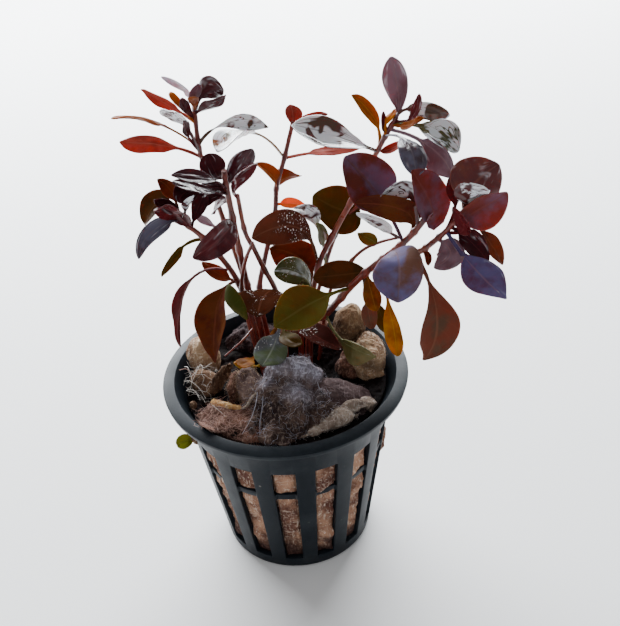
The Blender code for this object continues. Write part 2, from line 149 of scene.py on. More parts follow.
# Leaves: stem, how far up it, the point that pulls the rib into a bow, tip, width, turn about the
# rib, outline, share of the length that is stalk, finish, and how far the blade cups
LEAVES = {
    "tall_back": ("left_tall", 0.95, (-16.8, 15.9, 101.9), (-24, 17.6, 106.1), 2.8, 94, "oval", 0.27,
        "coral", 0.8),
    "tall_amber": ("left_tall", 0.95, (-17.2, 11.8, 106.3), (-17.8, 14.9, 106.1), 1.8, 68, "blunt", 0.28,
        "amber", 0.4),
    "tall_inner": ("left_tall", 0.96, (-15.5, 11.3, 104.9), (-15.1, 9.8, 106.8), 2.1, 114, "blunt", 0.1,
        "wine", 1),
    "tall_cap": ("left_tall", 0.99, (-12.1, 8.7, 106.4), (-13.5, 6.5, 108.1), 2.1, 0, "round", 0.31,
        "orange_red", 0.7),
    "tall_pale": ("left_tall", 0.98, (-13.4, 14.7, 107.7), (-19.2, 14.9, 109.4), 2.6, 36, "egg", 0.31,
        "lavender", 1.1),
    "tall_violet": ("left_tall", 0.985, (-12.7, 10, 107.1), (-11.6, 10, 109.4), 2.7, -6, "egg", 0.5,
        "violet", 1.1),
    "tall_top": ("left_tall", 0.98, (-11, 12.3, 109.1), (-6.7, 7.9, 108.5), 5, 85, "round", 0.36,
        "plum_glare", 1.3),
    "tall_top_low": ("left_tall", 0.98, (-8.8, 10.1, 104.9), (-6.3, 6.4, 108.1), 3.4, 37, "lance", 0.07,
        "plum", 1.1),
    "tall_glare": ("left_tall", 0.84, (-15.3, 13, 102.3), (-18.5, 4.6, 106.9), 4.8, 107, "egg", 0.51,
        "glare", 0.8),
    "tall_down": ("left_tall", 0.86, (-16.2, 12.4, 98.1), (-15.1, 7.6, 103), 2.3, 60, "blunt", 0.38,
        "wine", 1.2),
    "tall_edge": ("left_tall", 0.87, (-20.2, 11.7, 103.1), (-29.2, 8.4, 104.3), 5.3, -20, "round", 0.41,
        "orange_red", 1),
    "tall_red": ("left_tall", 0.84, (-18, 13.7, 95.7), (-28.8, 10.3, 98.4), 4.5, 90, "blunt", 0.3,
        "coral", 1.2),
    "tall_right": ("left_tall", 0.88, (-9.2, 12, 102.4), (1, 12.3, 98.2), 3.7, -55, "spoon", 0.28,
        "painted_glare", 1.3),
    "middle_glare": ("middle", 0.87, (-2, 18.9, 99), (-9.4, 8.1, 95.6), 8.1, -57, "oval", 0.45,
        "painted_glare_orange", 1.6),
    "dark_back": ("left_dark", 0.98, (-9.5, 3.3, 90.1), (-11.5, 9, 95), 5.3, 9, "blunt", 0.16, "plum", 1.5),
    "dark_right": ("left_dark", 0.93, (-4.8, 1.7, 95), (-2.2, 2.2, 98.6), 5.5, 54, "blunt", 0.04,
        "plum_glare", 1.1),
    "dark_fill": ("left_dark", 0.9, (-12.1, 3.0, 90.9), (-13.9, 3.5, 86.3), 5.2, 50, "round", 0.1,
        "plum", 1.0),
    "dark_fill_two": ("left_dark", 0.86, (-9.3, 4.0, 87.9), (-11.4, 4.5, 83.7), 4.6, 30, "blunt", 0.1,
        "plum", 1.0),
    "maroon_fold": ("left_second", 0.985, (-8.9, -2.7, 95.3), (-1.2, -4.8, 98.7), 5.5, 71, "oval", 0.14,
        "wine_glare", 1.6),
    "dark_glare": ("left_dark", 0.92, (-9.9, -3, 96.2), (-17.2, -6.6, 98.7), 3.3, 53, "oval", 0.34,
        "plum_glare", 1.1),
    "dark_low_glare": ("left_dark", 0.9, (-11.7, -3.8, 93.2), (-17, -7.8, 97.9), 3.5, 40, "blunt", 0.27,
        "plum_glare", 0.9),
    "dark_left": ("left_dark", 0.93, (-15.6, -4.3, 95.5), (-16.4, -8.8, 94.2), 4.5, 46, "blunt", 0.45,
        "plum", 0.8),
    "low_upright": ("left_low", 0.98, (-17.3, -2, 93.9), (-20.3, -3.9, 96.7), 3.1, -31, "oval", 0.35,
        "rust", 1.6),
    "low_round": ("left_low", 0.97, (-21.1, 1.4, 93.5), (-24.9, 0.1, 84.9), 6.7, 25, "round", 0.32,
        "brown_dark", 1.2),
    "low_dark": ("left_low", 0.95, (-17.8, -4.7, 91.5), (-20.6, -9.4, 95.3), 2.6, 129, "round", 0.3,
        "plum", 1),
    "low_centre": ("left_low", 0.9, (-19.5, -6.9, 94.2), (-20.1, -11.5, 94.1), 5.5, 149, "oval", 0.08,
        "wine", 1.1),
    "low_glare": ("left_low", 0.96, (-14.6, -8.7, 94), (-13.2, -9.1, 95.5), 2.3, 2, "lance", 0.42,
        "glare", 0.9),
    "low_dark_two": ("left_low", 0.91, (-13.2, -1, 89.8), (-12.7, 2.6, 89.2), 3.4, -57, "blunt", 0.17,
        "plum", 0.9),
    "low_behind": ("left_low", 0.72, (-8.9, 2.3, 82.4), (-15.1, 2.6, 84.6), 2.8, -30, "blunt", 0.57,
        "violet", 1),
    "low_droop": ("left_low", 0.97, (-24.5, -8.4, 89), (-25, -11.8, 84.3), 3.4, 48, "egg", 0.17,
        "slate", 1.6),
    "dark_wing": ("left_dark", 0.78, (-8.8, -4.8, 83.4), (-15.1, -10.1, 82.6), 5.9, 64, "round", 0.05,
        "wine_glare", 1.4),
    "low_slip": ("left_low", 0.83, (-17.8, -2.6, 83.1), (-22.4, -6, 76.3), 2.3, 89, "egg", 0.4,
        "olive_dark", 1.1),
    "low_hanging": ("left_low", 0.62, (-20.5, 0.2, 77.3), (-21.1, -6.5, 58.9), 5.2, -19, "round", 0.39,
        "wine_dull", 1.6),
    "left_pale": ("left_tall", 0.4, (-10.6, 8.5, 63.7), (-16, 9.5, 69.4), 3.4, 30, "egg", 0.31, "rust", 1.3),
    "low_big": ("left_low", 0.56, (-14.4, 1.8, 67.5), (-14.5, -5.3, 53.1), 9.3, 13, "lance", 0.16,
        "rust_orange", 1.6),
    "left_green": ("left_inner", 0.62, (-14.8, -0.1, 67.5), (-6.3, -7, 65.3), 9.1, 68, "oval", 0.2,
        "green_dark", 1.6),
    "front_wide": ("left_second", 0.49, (-3.7, -1.2, 67.6), (-4.2, -7.2, 65.6), 9.4, -4, "blunt", 0.08,
        "rust_wet", 1),
    "front_fuzzy": ("left_second", 0.35, (-1.2, -2.1, 53.6), (-4.3, -10.6, 55.4), 7.1, 17, "round", 0.34,
        "fuzzy", 0.3),
    "front_amber": ("left_second", 0.34, (-7.5, -8.4, 51.4), (-9.2, -15.6, 60.7), 3.1, 19, "egg", 0.6,
        "amber_dark", 1.1),
    "speckled": ("right_top", 0.41, (8.5, 8.3, 82.4), (-4.1, 0.6, 79.6), 7.4, 106, "blunt", 0.33,
        "speckled", 1.6),
    "middle_glare_two": ("right_inner", 0.62, (9.9, 11.4, 79.7), (4.9, 5.9, 82.9), 4.5, -9, "oval", 0.52,
        "glare", 1),
    "middle_green": ("right_inner", 0.6, (10.4, 9.6, 75.7), (9.2, 9.3, 76.9), 3.2, 126, "egg", 0.52,
        "grey_green", 1.2),
    "middle_brown": ("right_top", 0.31, (9.4, 14.8, 65.8), (-1.1, 10.7, 70.9), 9.9, -4, "oval", 0.28,
        "rust", 0.3),
    "front_green": ("right_top", 0.31, (7.1, 4.8, 69), (-0.2, -1.1, 72.5), 6, -53, "blunt", 0.12,
        "green_wet", 1.4),
    "front_round": ("right_main", 0.52, (8.6, -5.8, 69), (-0.9, -10.3, 65), 9.6, 30, "oval", 0.33,
        "olive", 1),
    "front_brown": ("right_main", 0.64, (18.1, 3.5, 67.4), (7.7, 5.2, 65.9), 6.3, 79, "blunt", 0.05,
        "brown_dark", 1),
    "front_wet": ("right_main", 0.28, (3.6, -2.4, 57.3), (12.6, -7.8, 56.1), 5.9, -13, "oval", 0.07,
        "wine_wet", 1.6),
    "front_dark": ("left_second", 0.36, (-0.5, -2.9, 54.8), (4.3, -7, 57.6), 4, -15, "round", 0.42,
        "olive_dark", 0.7),
    "front_folded": ("right_main", 0.35, (10.9, -4, 54.2), (19.7, -8.2, 53.7), 7, -85, "lance", 0.47,
        "grey_green", 1.6),
    "low_purple": ("right_main", 0.62, (18.2, -3.7, 63.8), (19.4, -3.2, 57.4), 3.4, 5, "egg", 0.49,
        "rust_grey", 0.9),
    "hanging_small": ("right_main", 0.64, (19.6, -3.4, 64.7), (20.4, -4.9, 63.1), 3.9, -55, "blunt", 0.12,
        "amber_dark", 0.9),
    "low_olive": ("right_main", 0.62, (21, -3.1, 63.5), (23, -0.7, 53.5), 3.4, -68, "oval", 0.42,
        "olive_dark", 1.1),
    "orange_hanging": ("right_main", 0.71, (23.4, -5.4, 64.5), (24.6, -4.5, 50.5), 4.3, -97, "blunt", 0.37,
        "amber_gold", 1.6),
    "olive_back": ("right_inner", 0.99, (18, 15.7, 72.7), (9, 14.6, 80.7), 11.1, 84, "egg", 0.03,
        "olive_dark", 0.3),
    "glare_small": ("right_back", 0.98, (21.1, 4.8, 78.5), (17.5, 5.2, 81), 4.2, -48, "egg", 0.19,
        "glare", 1),
    "olive_small": ("right_back", 0.86, (20.7, 7.3, 73.2), (17.8, 7.9, 74.6), 3.2, 118, "oval", 0.04,
        "olive", 1.5),
    "middle_small": ("middle", 0.7, (5.3, 14.2, 79.8), (7.7, 13.6, 78.3), 2.5, -40, "egg", 0.14,
        "coral_light", 1.6),
    "middle_pair_left": ("middle", 0.77, (1.2, 12.5, 87.6), (-2.6, 14.6, 89.4), 3.4, 100, "egg", 0.05,
        "orange_red", 1.6),
    "middle_pair_right": ("middle", 0.77, (2.6, 18.5, 84.4), (6.6, 14.1, 85.9), 5.4, 85, "egg", 0.03,
        "orange_red", 1.3),
    "middle_top_left": ("middle", 0.98, (6.5, 19.1, 97.5), (5.6, 21.6, 98.7), 3.8, -47, "oval", 0.1,
        "coral", 1.4),
    "middle_top_right": ("middle", 0.99, (9.7, 18.1, 97.8), (13.3, 18.8, 97.2), 1.9, -34, "round", 0.15,
        "coral", 1),
    "top_pointing": ("right_top", 0.87, (16.6, 3.1, 98.4), (5.7, 3.7, 102.1), 7, 43, "blunt", 0.17,
        "painted_glare", 1.3),
    "middle_right": ("middle", 0.87, (9.2, 17.5, 89.7), (19.6, 19.6, 88.4), 3.4, -10, "egg", 0.34,
        "coral", 0.3),
    "top_orange": ("right_top", 0.88, (24.3, 8.5, 99.4), (17.7, 8.7, 105.2), 3, -80, "round", 0.33,
        "amber_gold", 1.1),
    "top_small_orange": ("right_top", 0.93, (23.2, 3.7, 101.6), (26, 7.3, 102.2), 2.4, 46, "oval", 0.44,
        "amber", 0.5),
    "top_dark_spike": ("right_top", 0.94, (23.4, 5.3, 99.2), (23.6, 5.8, 102.6), 1.9, 79, "egg", 0.09,
        "wine", 1.5),
    "top_low_coral": ("right_top", 0.88, (23.2, 7, 92.6), (27.6, 6.6, 95.4), 2.3, -44, "round", 0.1,
        "coral", 1.3),
    "top_upright": ("right_top", 1, (27.7, 7.4, 102.8), (25.5, 9, 112.2), 5.1, -10, "blunt", 0.08,
        "violet", 1.6),
    "top_spotted": ("right_top", 0.99, (27.1, 6.8, 104.5), (36.1, 3.7, 101.5), 3.7, -50, "round", 0.28,
        "painted_glare", 1.6),
    "top_spike_two": ("right_top", 0.985, (30.1, 2, 100.9), (29.8, 1.2, 107.6), 2.3, -69, "round", 0.32,
        "wine", 1),
    "top_coral": ("right_top", 0.975, (27.8, 0.6, 100.6), (30.4, -1.5, 103.9), 2.2, -45, "egg", 0.28,
        "orange_red", 1.3),
    "top_olive": ("right_top", 0.975, (30.9, -0.4, 103.1), (36.9, -2.7, 97.1), 7.3, -15, "blunt", 0.39,
        "olive_glare", 1.6),
    "top_blue": ("right_top", 0.93, (28, -3.2, 102.7), (27.9, -8.7, 95.5), 5.7, 11, "blunt", 0.4,
        "slate", 0.3),
    "top_purple": ("right_top", 0.955, (32.5, -0.9, 99.6), (35.8, -7.8, 93.6), 7.2, -90, "lance", 0.41,
        "violet", 1.6),
    "round_purple": ("right_main", 0.86, (22.3, -5.8, 90.9), (15.1, -4, 98.4), 10.9, 23, "egg", 0.41,
        "violet_brown", 0.6),
    "brown_front": ("right_main", 0.885, (31.1, -7.2, 89), (16.4, -8.9, 91.2), 5.9, -71, "egg", 0.19,
        "rust_orange", 0.9),
    "glare_mid": ("right_main", 0.94, (28, -6.1, 97.2), (21.2, -8.7, 91.9), 5.2, 32, "egg", 0.41,
        "glare", 1.2),
    "upright_red": ("right_main", 0.98, (33.9, -7.7, 84), (27.1, -9.3, 97.2), 9.2, -97, "egg", 0.06,
        "red_violet", 1.2),
    "upright_dark": ("right_low", 0.62, (36.8, -10, 90.3), (34.4, -6.9, 93.9), 3.5, 7, "blunt", 0.47,
        "wine", 0.7),
    "cluster_round": ("right_low", 0.97, (35.5, -10.3, 92.9), (43.8, -6.4, 95.7), 9.9, 2, "egg", 0.19,
        "rust_red", 1.5),
    "cluster_glare": ("right_low", 0.97, (35.7, -15.7, 95.1), (39.6, -18.2, 96.7), 6.7, -11, "egg", 0.27,
        "glare", 0.9),
    "cluster_pointed": ("right_low", 0.77, (37.1, -13.9, 89.4), (43.6, -15.2, 94.5), 8.1, -102, "egg", 0.14,
        "red_violet", 1.6),
    "cluster_purple": ("right_low", 0.62, (38.7, -15.5, 85.5), (33.6, -16.1, 92.9), 3.3, -102, "egg", 0.26,
        "wine", 1.2),
    "cluster_dark": ("right_low", 0.73, (39.2, -15.4, 83.3), (40.5, -16.2, 80.3), 4.6, -44, "egg", 0.2,
        "plum", 1),
    "cluster_brown": ("right_low", 0.97, (40.8, -12.1, 84.4), (44.6, -11.1, 76.3), 3.5, -66, "oval", 0.39,
        "rust", 1.3),
    "cluster_grey": ("right_low", 0.49, (36.2, -16.4, 82.6), (30.1, -17.7, 81.1), 5.4, -33, "egg", 0.13,
        "violet", 0.3),
    "cluster_blue": ("right_low", 0.64, (35.8, -19.3, 82.4), (44.1, -17.7, 72.8), 7.9, -58, "lance", 0.29,
        "blue_violet", 0.3),
    "near_round": ("right_main", 0.76, (25.3, -12.5, 85.7), (22.9, -21.2, 76.3), 10.2, -10, "blunt", 0.27,
        "blue_brown", 1),
    "tiny_brown": ("right_low", 0.21, (30.4, -11.9, 81.3), (29.8, -13, 78.6), 1.5, -7, "round", 0.11,
        "rust", 1.6),
    "cluster_hanging": ("right_low", 0.13, (35.1, -13.5, 63.4), (28.7, -14, 56.5), 9.7, -41, "spoon", 0.22,
        "rust_grey", 1.1),
    "rim_green": ("slot_shoot", 1, (-22.8, -8, 34.6), (-25.4, -8, 32.8), 3.4, 48, "round", 0.12,
        "olive_bright", 0.4),
    "yellow_bit": ("wool_shoot", 1, (-8, -3.4, 49.4), (-10.8, -3, 51.1), 1.7, 60, "blunt", 0.1,
        "yellow", 0.8),
}
# Small leaves in the growing tips, which stand in for the plain buds
BUD_LEAVES = {
    "tall_top": "left_tall_bud",
    "dark_left": "left_dark_bud",
    "low_upright": "left_low_bud",
    "middle_top_left": "middle_bud",
    "cluster_purple": "right_low_bud",
}
STALK_WIDTH = 0.7
STALK_PIECES = 4
# Outlines: the half width at a share u along the blade is sin(pi u^bow)^fullness of the widest
OUTLINES = {
    "spoon": (1.5, 1.1),
    "oval": (1.0, 0.75),
    "lance": (0.85, 1.1),
    "round": (1.0, 0.5),
    "blunt": (1.35, 0.6),
    "egg": (0.75, 0.6),
}
# Blade: rows along it and strips across it, its width at the foot, its width at the tip, which is also the
# least, how much each lengthwise line rises, from the rib outwards, how deep the rib and the side veins
# lie, and the rows from one side vein to the next
BLADE_ROWS = 16
BLADE_STRIPS = 8
FOOT_WIDTH = 0.1
TIP_WIDTH = 0.04
BLADE_RISE = (0.012, 0.035, 0.07, 0.12)
RIB_DEPTH = 0.014
VEIN_DEPTH = 0.010
VEIN_PITCH = 3
# Waves of a leaf's edge: their size, and how far apart in the texture two leaves are waved
WAVE_SIZE = 0.0045
WAVE_STEP = 0.05


def deselect_all():
    """Leave edit mode and select nothing."""
    if bpy.context.object and bpy.context.object.mode != "OBJECT":
        bpy.ops.object.mode_set(mode="OBJECT")
    bpy.ops.object.select_all(action="DESELECT")


def make_active(piece):
    deselect_all()
    piece.select_set(True)
    bpy.context.view_layer.objects.active = piece


def added(name):
    """The object that the last operator added, with its new name."""
    piece = bpy.context.object
    piece.name = name
    piece.data.name = name
    return piece


def copy_of(piece, name):
    make_active(piece)
    bpy.ops.object.duplicate()
    return added(name)


def pick(piece, kind, chosen):
    """Go into edit mode with only the vertices, edges or faces selected that chosen says yes to."""
    make_active(piece)
    bpy.ops.object.mode_set(mode="EDIT")
    bpy.ops.mesh.select_mode(type=kind)
    bpy.ops.mesh.select_all(action="DESELECT")
    bpy.ops.object.mode_set(mode="OBJECT")
    mesh = piece.data
    items = {"VERT": mesh.vertices, "EDGE": mesh.edges, "FACE": mesh.polygons}[kind]
    for item in items:
        item.select = chosen(item)
    bpy.ops.object.mode_set(mode="EDIT")


def move_where(piece, chosen, shift, **soft):
    pick(piece, "VERT", chosen)
    bpy.ops.transform.translate(value=shift, **soft)
    bpy.ops.object.mode_set(mode="OBJECT")


def resize_where(piece, chosen, size, centre=(0, 0, 0), **soft):
    pick(piece, "VERT", chosen)
    bpy.ops.transform.resize(value=size, center_override=centre, **soft)
    bpy.ops.object.mode_set(mode="OBJECT")


def soft_within(reach):
    """What makes a move or a resize take along the vertices within reach, less and less."""
    return {"use_proportional_edit": True, "proportional_edit_falloff": "SMOOTH", "proportional_size": reach}


def weigh(piece, group, weight, chosen):
    """Give the chosen vertices a weight in a vertex group, which is made when it isn't there yet."""
    if group not in piece.vertex_groups:
        piece.vertex_groups.new(name=group)
    pick(piece, "VERT", chosen)
    piece.vertex_groups.active = piece.vertex_groups[group]
    bpy.context.scene.tool_settings.vertex_group_weight = weight
    bpy.ops.object.vertex_group_assign()
    bpy.ops.object.mode_set(mode="OBJECT")


def apply_modifiers(piece):
    make_active(piece)
    for modifier in list(piece.modifiers):
        bpy.ops.object.modifier_apply(modifier=modifier.name)


def apply_place(piece):
    make_active(piece)
    bpy.ops.object.transform_apply(location=True, rotation=True, scale=True)


def shade(piece, degrees=180):
    make_active(piece)
    bpy.ops.object.shade_smooth_by_angle(angle=math.radians(degrees))


def finish_piece(piece, material):
    piece.data.materials.clear()
    piece.data.materials.append(material)
    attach(piece, BODY)


def cloud_texture(name, scale, depth):
    texture = bpy.data.textures.get(name) or bpy.data.textures.new(name, "CLOUDS")
    texture.noise_scale = scale
    texture.noise_depth = depth
    return texture


def grab(piece, place, shift, reach):
    """Pull the vertex nearest to a place, and what is round it within reach, less and less."""
    nearest = min(piece.data.vertices, key=lambda vertex: (vertex.co - place).length_squared).index
    move_where(piece, lambda vertex: vertex.index == nearest, shift, **soft_within(reach))


def crease_texture(name, scale):
    """Soft cells with sharp valleys between them, as torn wool parts."""
    texture = bpy.data.textures.get(name) or bpy.data.textures.new(name, "VORONOI")
    texture.noise_scale = scale
    texture.distance_metric = "DISTANCE_SQUARED"
    return texture


def add_displace(piece, texture, strength, group="", direction="NORMAL", mid_level=0.5):
    displace = piece.modifiers.new("displace", "DISPLACE")
    displace.texture = texture
    displace.texture_coords = "GLOBAL"
    displace.strength = strength
    displace.mid_level = mid_level
    displace.vertex_group = group
    displace.direction = direction


class NodeBook:
    """Short ways to add and link the nodes of one material."""

    def __init__(self, name):
        self.material = bpy.data.materials.new(name)
        self.material.use_nodes = True
        self.nodes = self.material.node_tree.nodes
        self.links = self.material.node_tree.links
        self.shader = self.nodes["Principled BSDF"]

    def add(self, kind, **values):
        node = self.nodes.new(kind)
        for key, value in values.items():
            setattr(node, key, value)
        return node

    def link(self, output, target):
        self.links.new(output, target)

    def object_place(self):
        return self.add("ShaderNodeTexCoord").outputs["Object"]

    def leaf_place(self):
        """Separate outputs for the way along a leaf and the way across it."""
        separate = self.add("ShaderNodeSeparateXYZ")
        self.link(self.add("ShaderNodeTexCoord").outputs["UV"], separate.inputs[0])
        return separate.outputs["X"], separate.outputs["Y"]

    def streak_place(self, along, across):
        """A place that changes fast across a leaf and slowly along it, and from leaf to leaf."""
        stretched = self.add("ShaderNodeCombineXYZ")
        self.link(self.times(along, 1.6), stretched.inputs["X"])
        self.link(self.times(across, 4.0), stretched.inputs["Y"])
        shifted = self.add("ShaderNodeVectorMath", operation="MULTIPLY_ADD")
        self.link(self.object_place(), shifted.inputs[0])
        shifted.inputs[1].default_value = (90.0, 90.0, 90.0)
        self.link(stretched.outputs[0], shifted.inputs[2])
        return shifted.outputs[0]

    def math(self, operation, first, second=0.0, third=0.0):
        node = self.add("ShaderNodeMath", operation=operation)
        for socket, value in zip(node.inputs, (first, second, third)):
            if isinstance(value, (int, float)):
                socket.default_value = value
            else:
                self.link(value, socket)
        return node.outputs[0]

    def times(self, first, second):
        return self.math("MULTIPLY", first, second)

    def noise(self, scale, detail=4.0, roughness=0.55, distortion=0.0, place=None):
        node = self.add("ShaderNodeTexNoise")
        node.inputs["Scale"].default_value = scale
        node.inputs["Detail"].default_value = detail
        node.inputs["Roughness"].default_value = roughness
        node.inputs["Distortion"].default_value = distortion
        self.link(place or self.object_place(), node.inputs["Vector"])
        return node.outputs["Fac"]

    def spots(self, scale):
        node = self.add("ShaderNodeTexVoronoi")
        node.inputs["Scale"].default_value = scale
        self.link(self.object_place(), node.inputs["Vector"])
        return node.outputs["Distance"]

    def ramp(self, value, low, high):
        """A smooth step from 0 at low to 1 at high."""
        node = self.add("ShaderNodeMapRange", interpolation_type="SMOOTHSTEP")
        node.inputs["From Min"].default_value = low
        node.inputs["From Max"].default_value = high
        self.link(value, node.inputs["Value"])
        return node.outputs["Result"]

    def mix(self, share, first, second):
        node = self.add("ShaderNodeMix", data_type="RGBA")
        for socket, value in ((node.inputs[0], share), (node.inputs[6], first), (node.inputs[7], second)):
            if isinstance(value, float):
                socket.default_value = value
            elif hasattr(value, "__len__"):
                socket.default_value = (*value, 1.0)
            else:
                self.link(value, socket)
        return node.outputs[2]

    def bump(self, height, strength, distance):
        node = self.add("ShaderNodeBump")
        node.inputs["Strength"].default_value = strength
        node.inputs["Distance"].default_value = distance
        self.link(height, node.inputs["Height"])
        return node.outputs["Normal"]

    def finish(self, colour=None, roughness=None, normal=None):
        for value, name in ((colour, "Base Color"), (roughness, "Roughness"), (normal, "Normal")):
            if isinstance(value, float):
                self.shader.inputs[name].default_value = value
            elif value is not None:
                self.link(value, self.shader.inputs[name])
        return self.material


# Leaf finishes: blade, second colour, rib, gloss roughness, share of pale water marks, share of painted
# glare (a pale reflection of the sky laid into the colour, which also sets the gloss), and how far light
# glows through
LEAF_FINISHES = {
    "coral": ((0.27, 0.050, 0.034), (0.17, 0.026, 0.018), (0.36, 0.09, 0.06), 0.42, 0.0, 0.0, 0.3),
    "coral_light": ((0.70, 0.16, 0.04), (0.45, 0.08, 0.03), (0.8, 0.25, 0.12), 0.35, 0.0, 0.0, 0.35),
    "amber": ((0.40, 0.115, 0.006), (0.22, 0.050, 0.005), (0.36, 0.11, 0.02), 0.36, 0.0, 0.0, 0.3),
    "amber_dark": ((0.20, 0.070, 0.006), (0.10, 0.030, 0.005), (0.24, 0.09, 0.02), 0.38, 0.0, 0.0, 0.25),
    "amber_gold": ((0.34, 0.145, 0.008), (0.20, 0.070, 0.006), (0.40, 0.19, 0.03), 0.38, 0.0, 0.0, 0.3),
    "orange_red": ((0.22, 0.055, 0.010), (0.15, 0.03, 0.008), (0.26, 0.09, 0.03), 0.4, 0.0, 0.0, 0.25),
    "yellow": ((0.30, 0.22, 0.020), (0.16, 0.11, 0.012), (0.36, 0.27, 0.06), 0.5, 0.0, 0.0, 0.2),
    "painted_glare": ((0.060, 0.026, 0.010), (0.085, 0.018, 0.012), (0.05, 0.012, 0.012), 0.14, 0.0, 0.85, 0.05),
    "painted_glare_orange": ((0.20, 0.065, 0.014), (0.07, 0.055, 0.02), (0.3, 0.14, 0.08), 0.16, 0.0, 0.72, 0.1),
    "lavender": ((0.62, 0.60, 0.72), (0.30, 0.26, 0.36), (0.6, 0.56, 0.64), 0.25, 0.0, 0.5, 0.1),
    "glare": ((0.070, 0.014, 0.014), (0.040, 0.010, 0.012), (0.10, 0.03, 0.03), 0.14, 0.0, 0.72, 0.03),
    "plum": ((0.026, 0.0045, 0.007), (0.050, 0.008, 0.011), (0.08, 0.015, 0.018), 0.2, 0.0, 0.08, 0.05),
    "plum_glare": ((0.026, 0.005, 0.008), (0.048, 0.009, 0.013), (0.08, 0.02, 0.025), 0.12, 0.0, 0.24, 0.04),
    "wine": ((0.085, 0.010, 0.012), (0.038, 0.006, 0.008), (0.15, 0.03, 0.03), 0.26, 0.0, 0.05, 0.12),
    "wine_dull": ((0.080, 0.013, 0.014), (0.042, 0.010, 0.008), (0.14, 0.05, 0.05), 0.45, 0.0, 0.0, 0.12),
    "wine_glare": ((0.085, 0.012, 0.015), (0.040, 0.007, 0.010), (0.15, 0.03, 0.03), 0.16, 0.0, 0.18, 0.08),
    "wine_wet": ((0.036, 0.010, 0.008), (0.024, 0.008, 0.006), (0.09, 0.025, 0.02), 0.6, 1.0, 0.0, 0.04),
    "rust": ((0.125, 0.026, 0.008), (0.055, 0.013, 0.006), (0.19, 0.05, 0.02), 0.34, 0.0, 0.0, 0.15),
    "rust_orange": ((0.064, 0.014, 0.008), (0.092, 0.027, 0.008), (0.14, 0.036, 0.018), 0.5, 0.0, 0.0, 0.05),
    "rust_red": ((0.155, 0.042, 0.024), (0.090, 0.024, 0.024), (0.2, 0.06, 0.04), 0.3, 0.0, 0.34, 0.1),
    "rust_wet": ((0.044, 0.013, 0.006), (0.030, 0.010, 0.006), (0.10, 0.035, 0.02), 0.6, 1.0, 0.0, 0.05),
    "rust_grey": ((0.120, 0.034, 0.020), (0.080, 0.044, 0.028), (0.18, 0.07, 0.04), 0.5, 0.0, 0.0, 0.08),
    "brown_dark": ((0.065, 0.022, 0.006), (0.036, 0.017, 0.005), (0.10, 0.04, 0.015), 0.3, 0.0, 0.0, 0.1),
    "speckled": ((0.095, 0.028, 0.014), (0.058, 0.017, 0.010), (0.16, 0.06, 0.035), 0.3, 1.0, 0.0, 0.1),
    "olive": ((0.088, 0.052, 0.008), (0.082, 0.070, 0.010), (0.14, 0.11, 0.03), 0.34, 0.0, 0.0, 0.2),
    "olive_bright": ((0.15, 0.16, 0.010), (0.10, 0.11, 0.008), (0.2, 0.2, 0.04), 0.36, 0.0, 0.0, 0.1),
    "olive_dark": ((0.052, 0.026, 0.004), (0.058, 0.038, 0.005), (0.09, 0.05, 0.012), 0.36, 0.0, 0.0, 0.12),
    "olive_glare": ((0.085, 0.066, 0.010), (0.05, 0.045, 0.010), (0.12, 0.1, 0.05), 0.16, 0.0, 0.62, 0.05),
    "green_dark": ((0.030, 0.034, 0.005), (0.050, 0.040, 0.007), (0.08, 0.07, 0.02), 0.55, 0.0, 0.0, 0.08),
    "green_wet": ((0.034, 0.036, 0.009), (0.056, 0.056, 0.016), (0.13, 0.13, 0.06), 0.14, 0.5, 0.16, 0.05),
    "grey_green": ((0.070, 0.064, 0.020), (0.150, 0.135, 0.060), (0.17, 0.16, 0.07), 0.45, 0.0, 0.05, 0.1),
    "fuzzy": ((0.055, 0.066, 0.036), (0.090, 0.090, 0.105), (0.17, 0.18, 0.15), 0.85, 0.6, 0.0, 0.04),
    "violet": ((0.200, 0.120, 0.150), (0.130, 0.058, 0.072), (0.24, 0.13, 0.14), 0.36, 0.0, 0.16, 0.08),
    "violet_brown": ((0.085, 0.024, 0.018), (0.105, 0.062, 0.105), (0.12, 0.045, 0.035), 0.4, 0.0, 0.0, 0.15),
    "red_violet": ((0.135, 0.028, 0.022), (0.125, 0.060, 0.090), (0.18, 0.05, 0.045), 0.4, 0.0, 0.0, 0.2),
    "blue_violet": ((0.062, 0.048, 0.115), (0.052, 0.020, 0.045), (0.12, 0.06, 0.09), 0.32, 0.0, 0.04, 0.05),
    "blue_brown": ((0.110, 0.095, 0.190), (0.100, 0.046, 0.032), (0.15, 0.09, 0.1), 0.42, 0.0, 0.0, 0.08),
    "slate": ((0.105, 0.100, 0.150), (0.045, 0.024, 0.032), (0.14, 0.11, 0.13), 0.22, 0.0, 0.4, 0.04),
}
WATER_MARK = (0.80, 0.78, 0.76)
# The colour of the painted glare, a pale reflection of the sky laid into a leaf's colour
GLARE = (0.82, 0.87, 0.93)


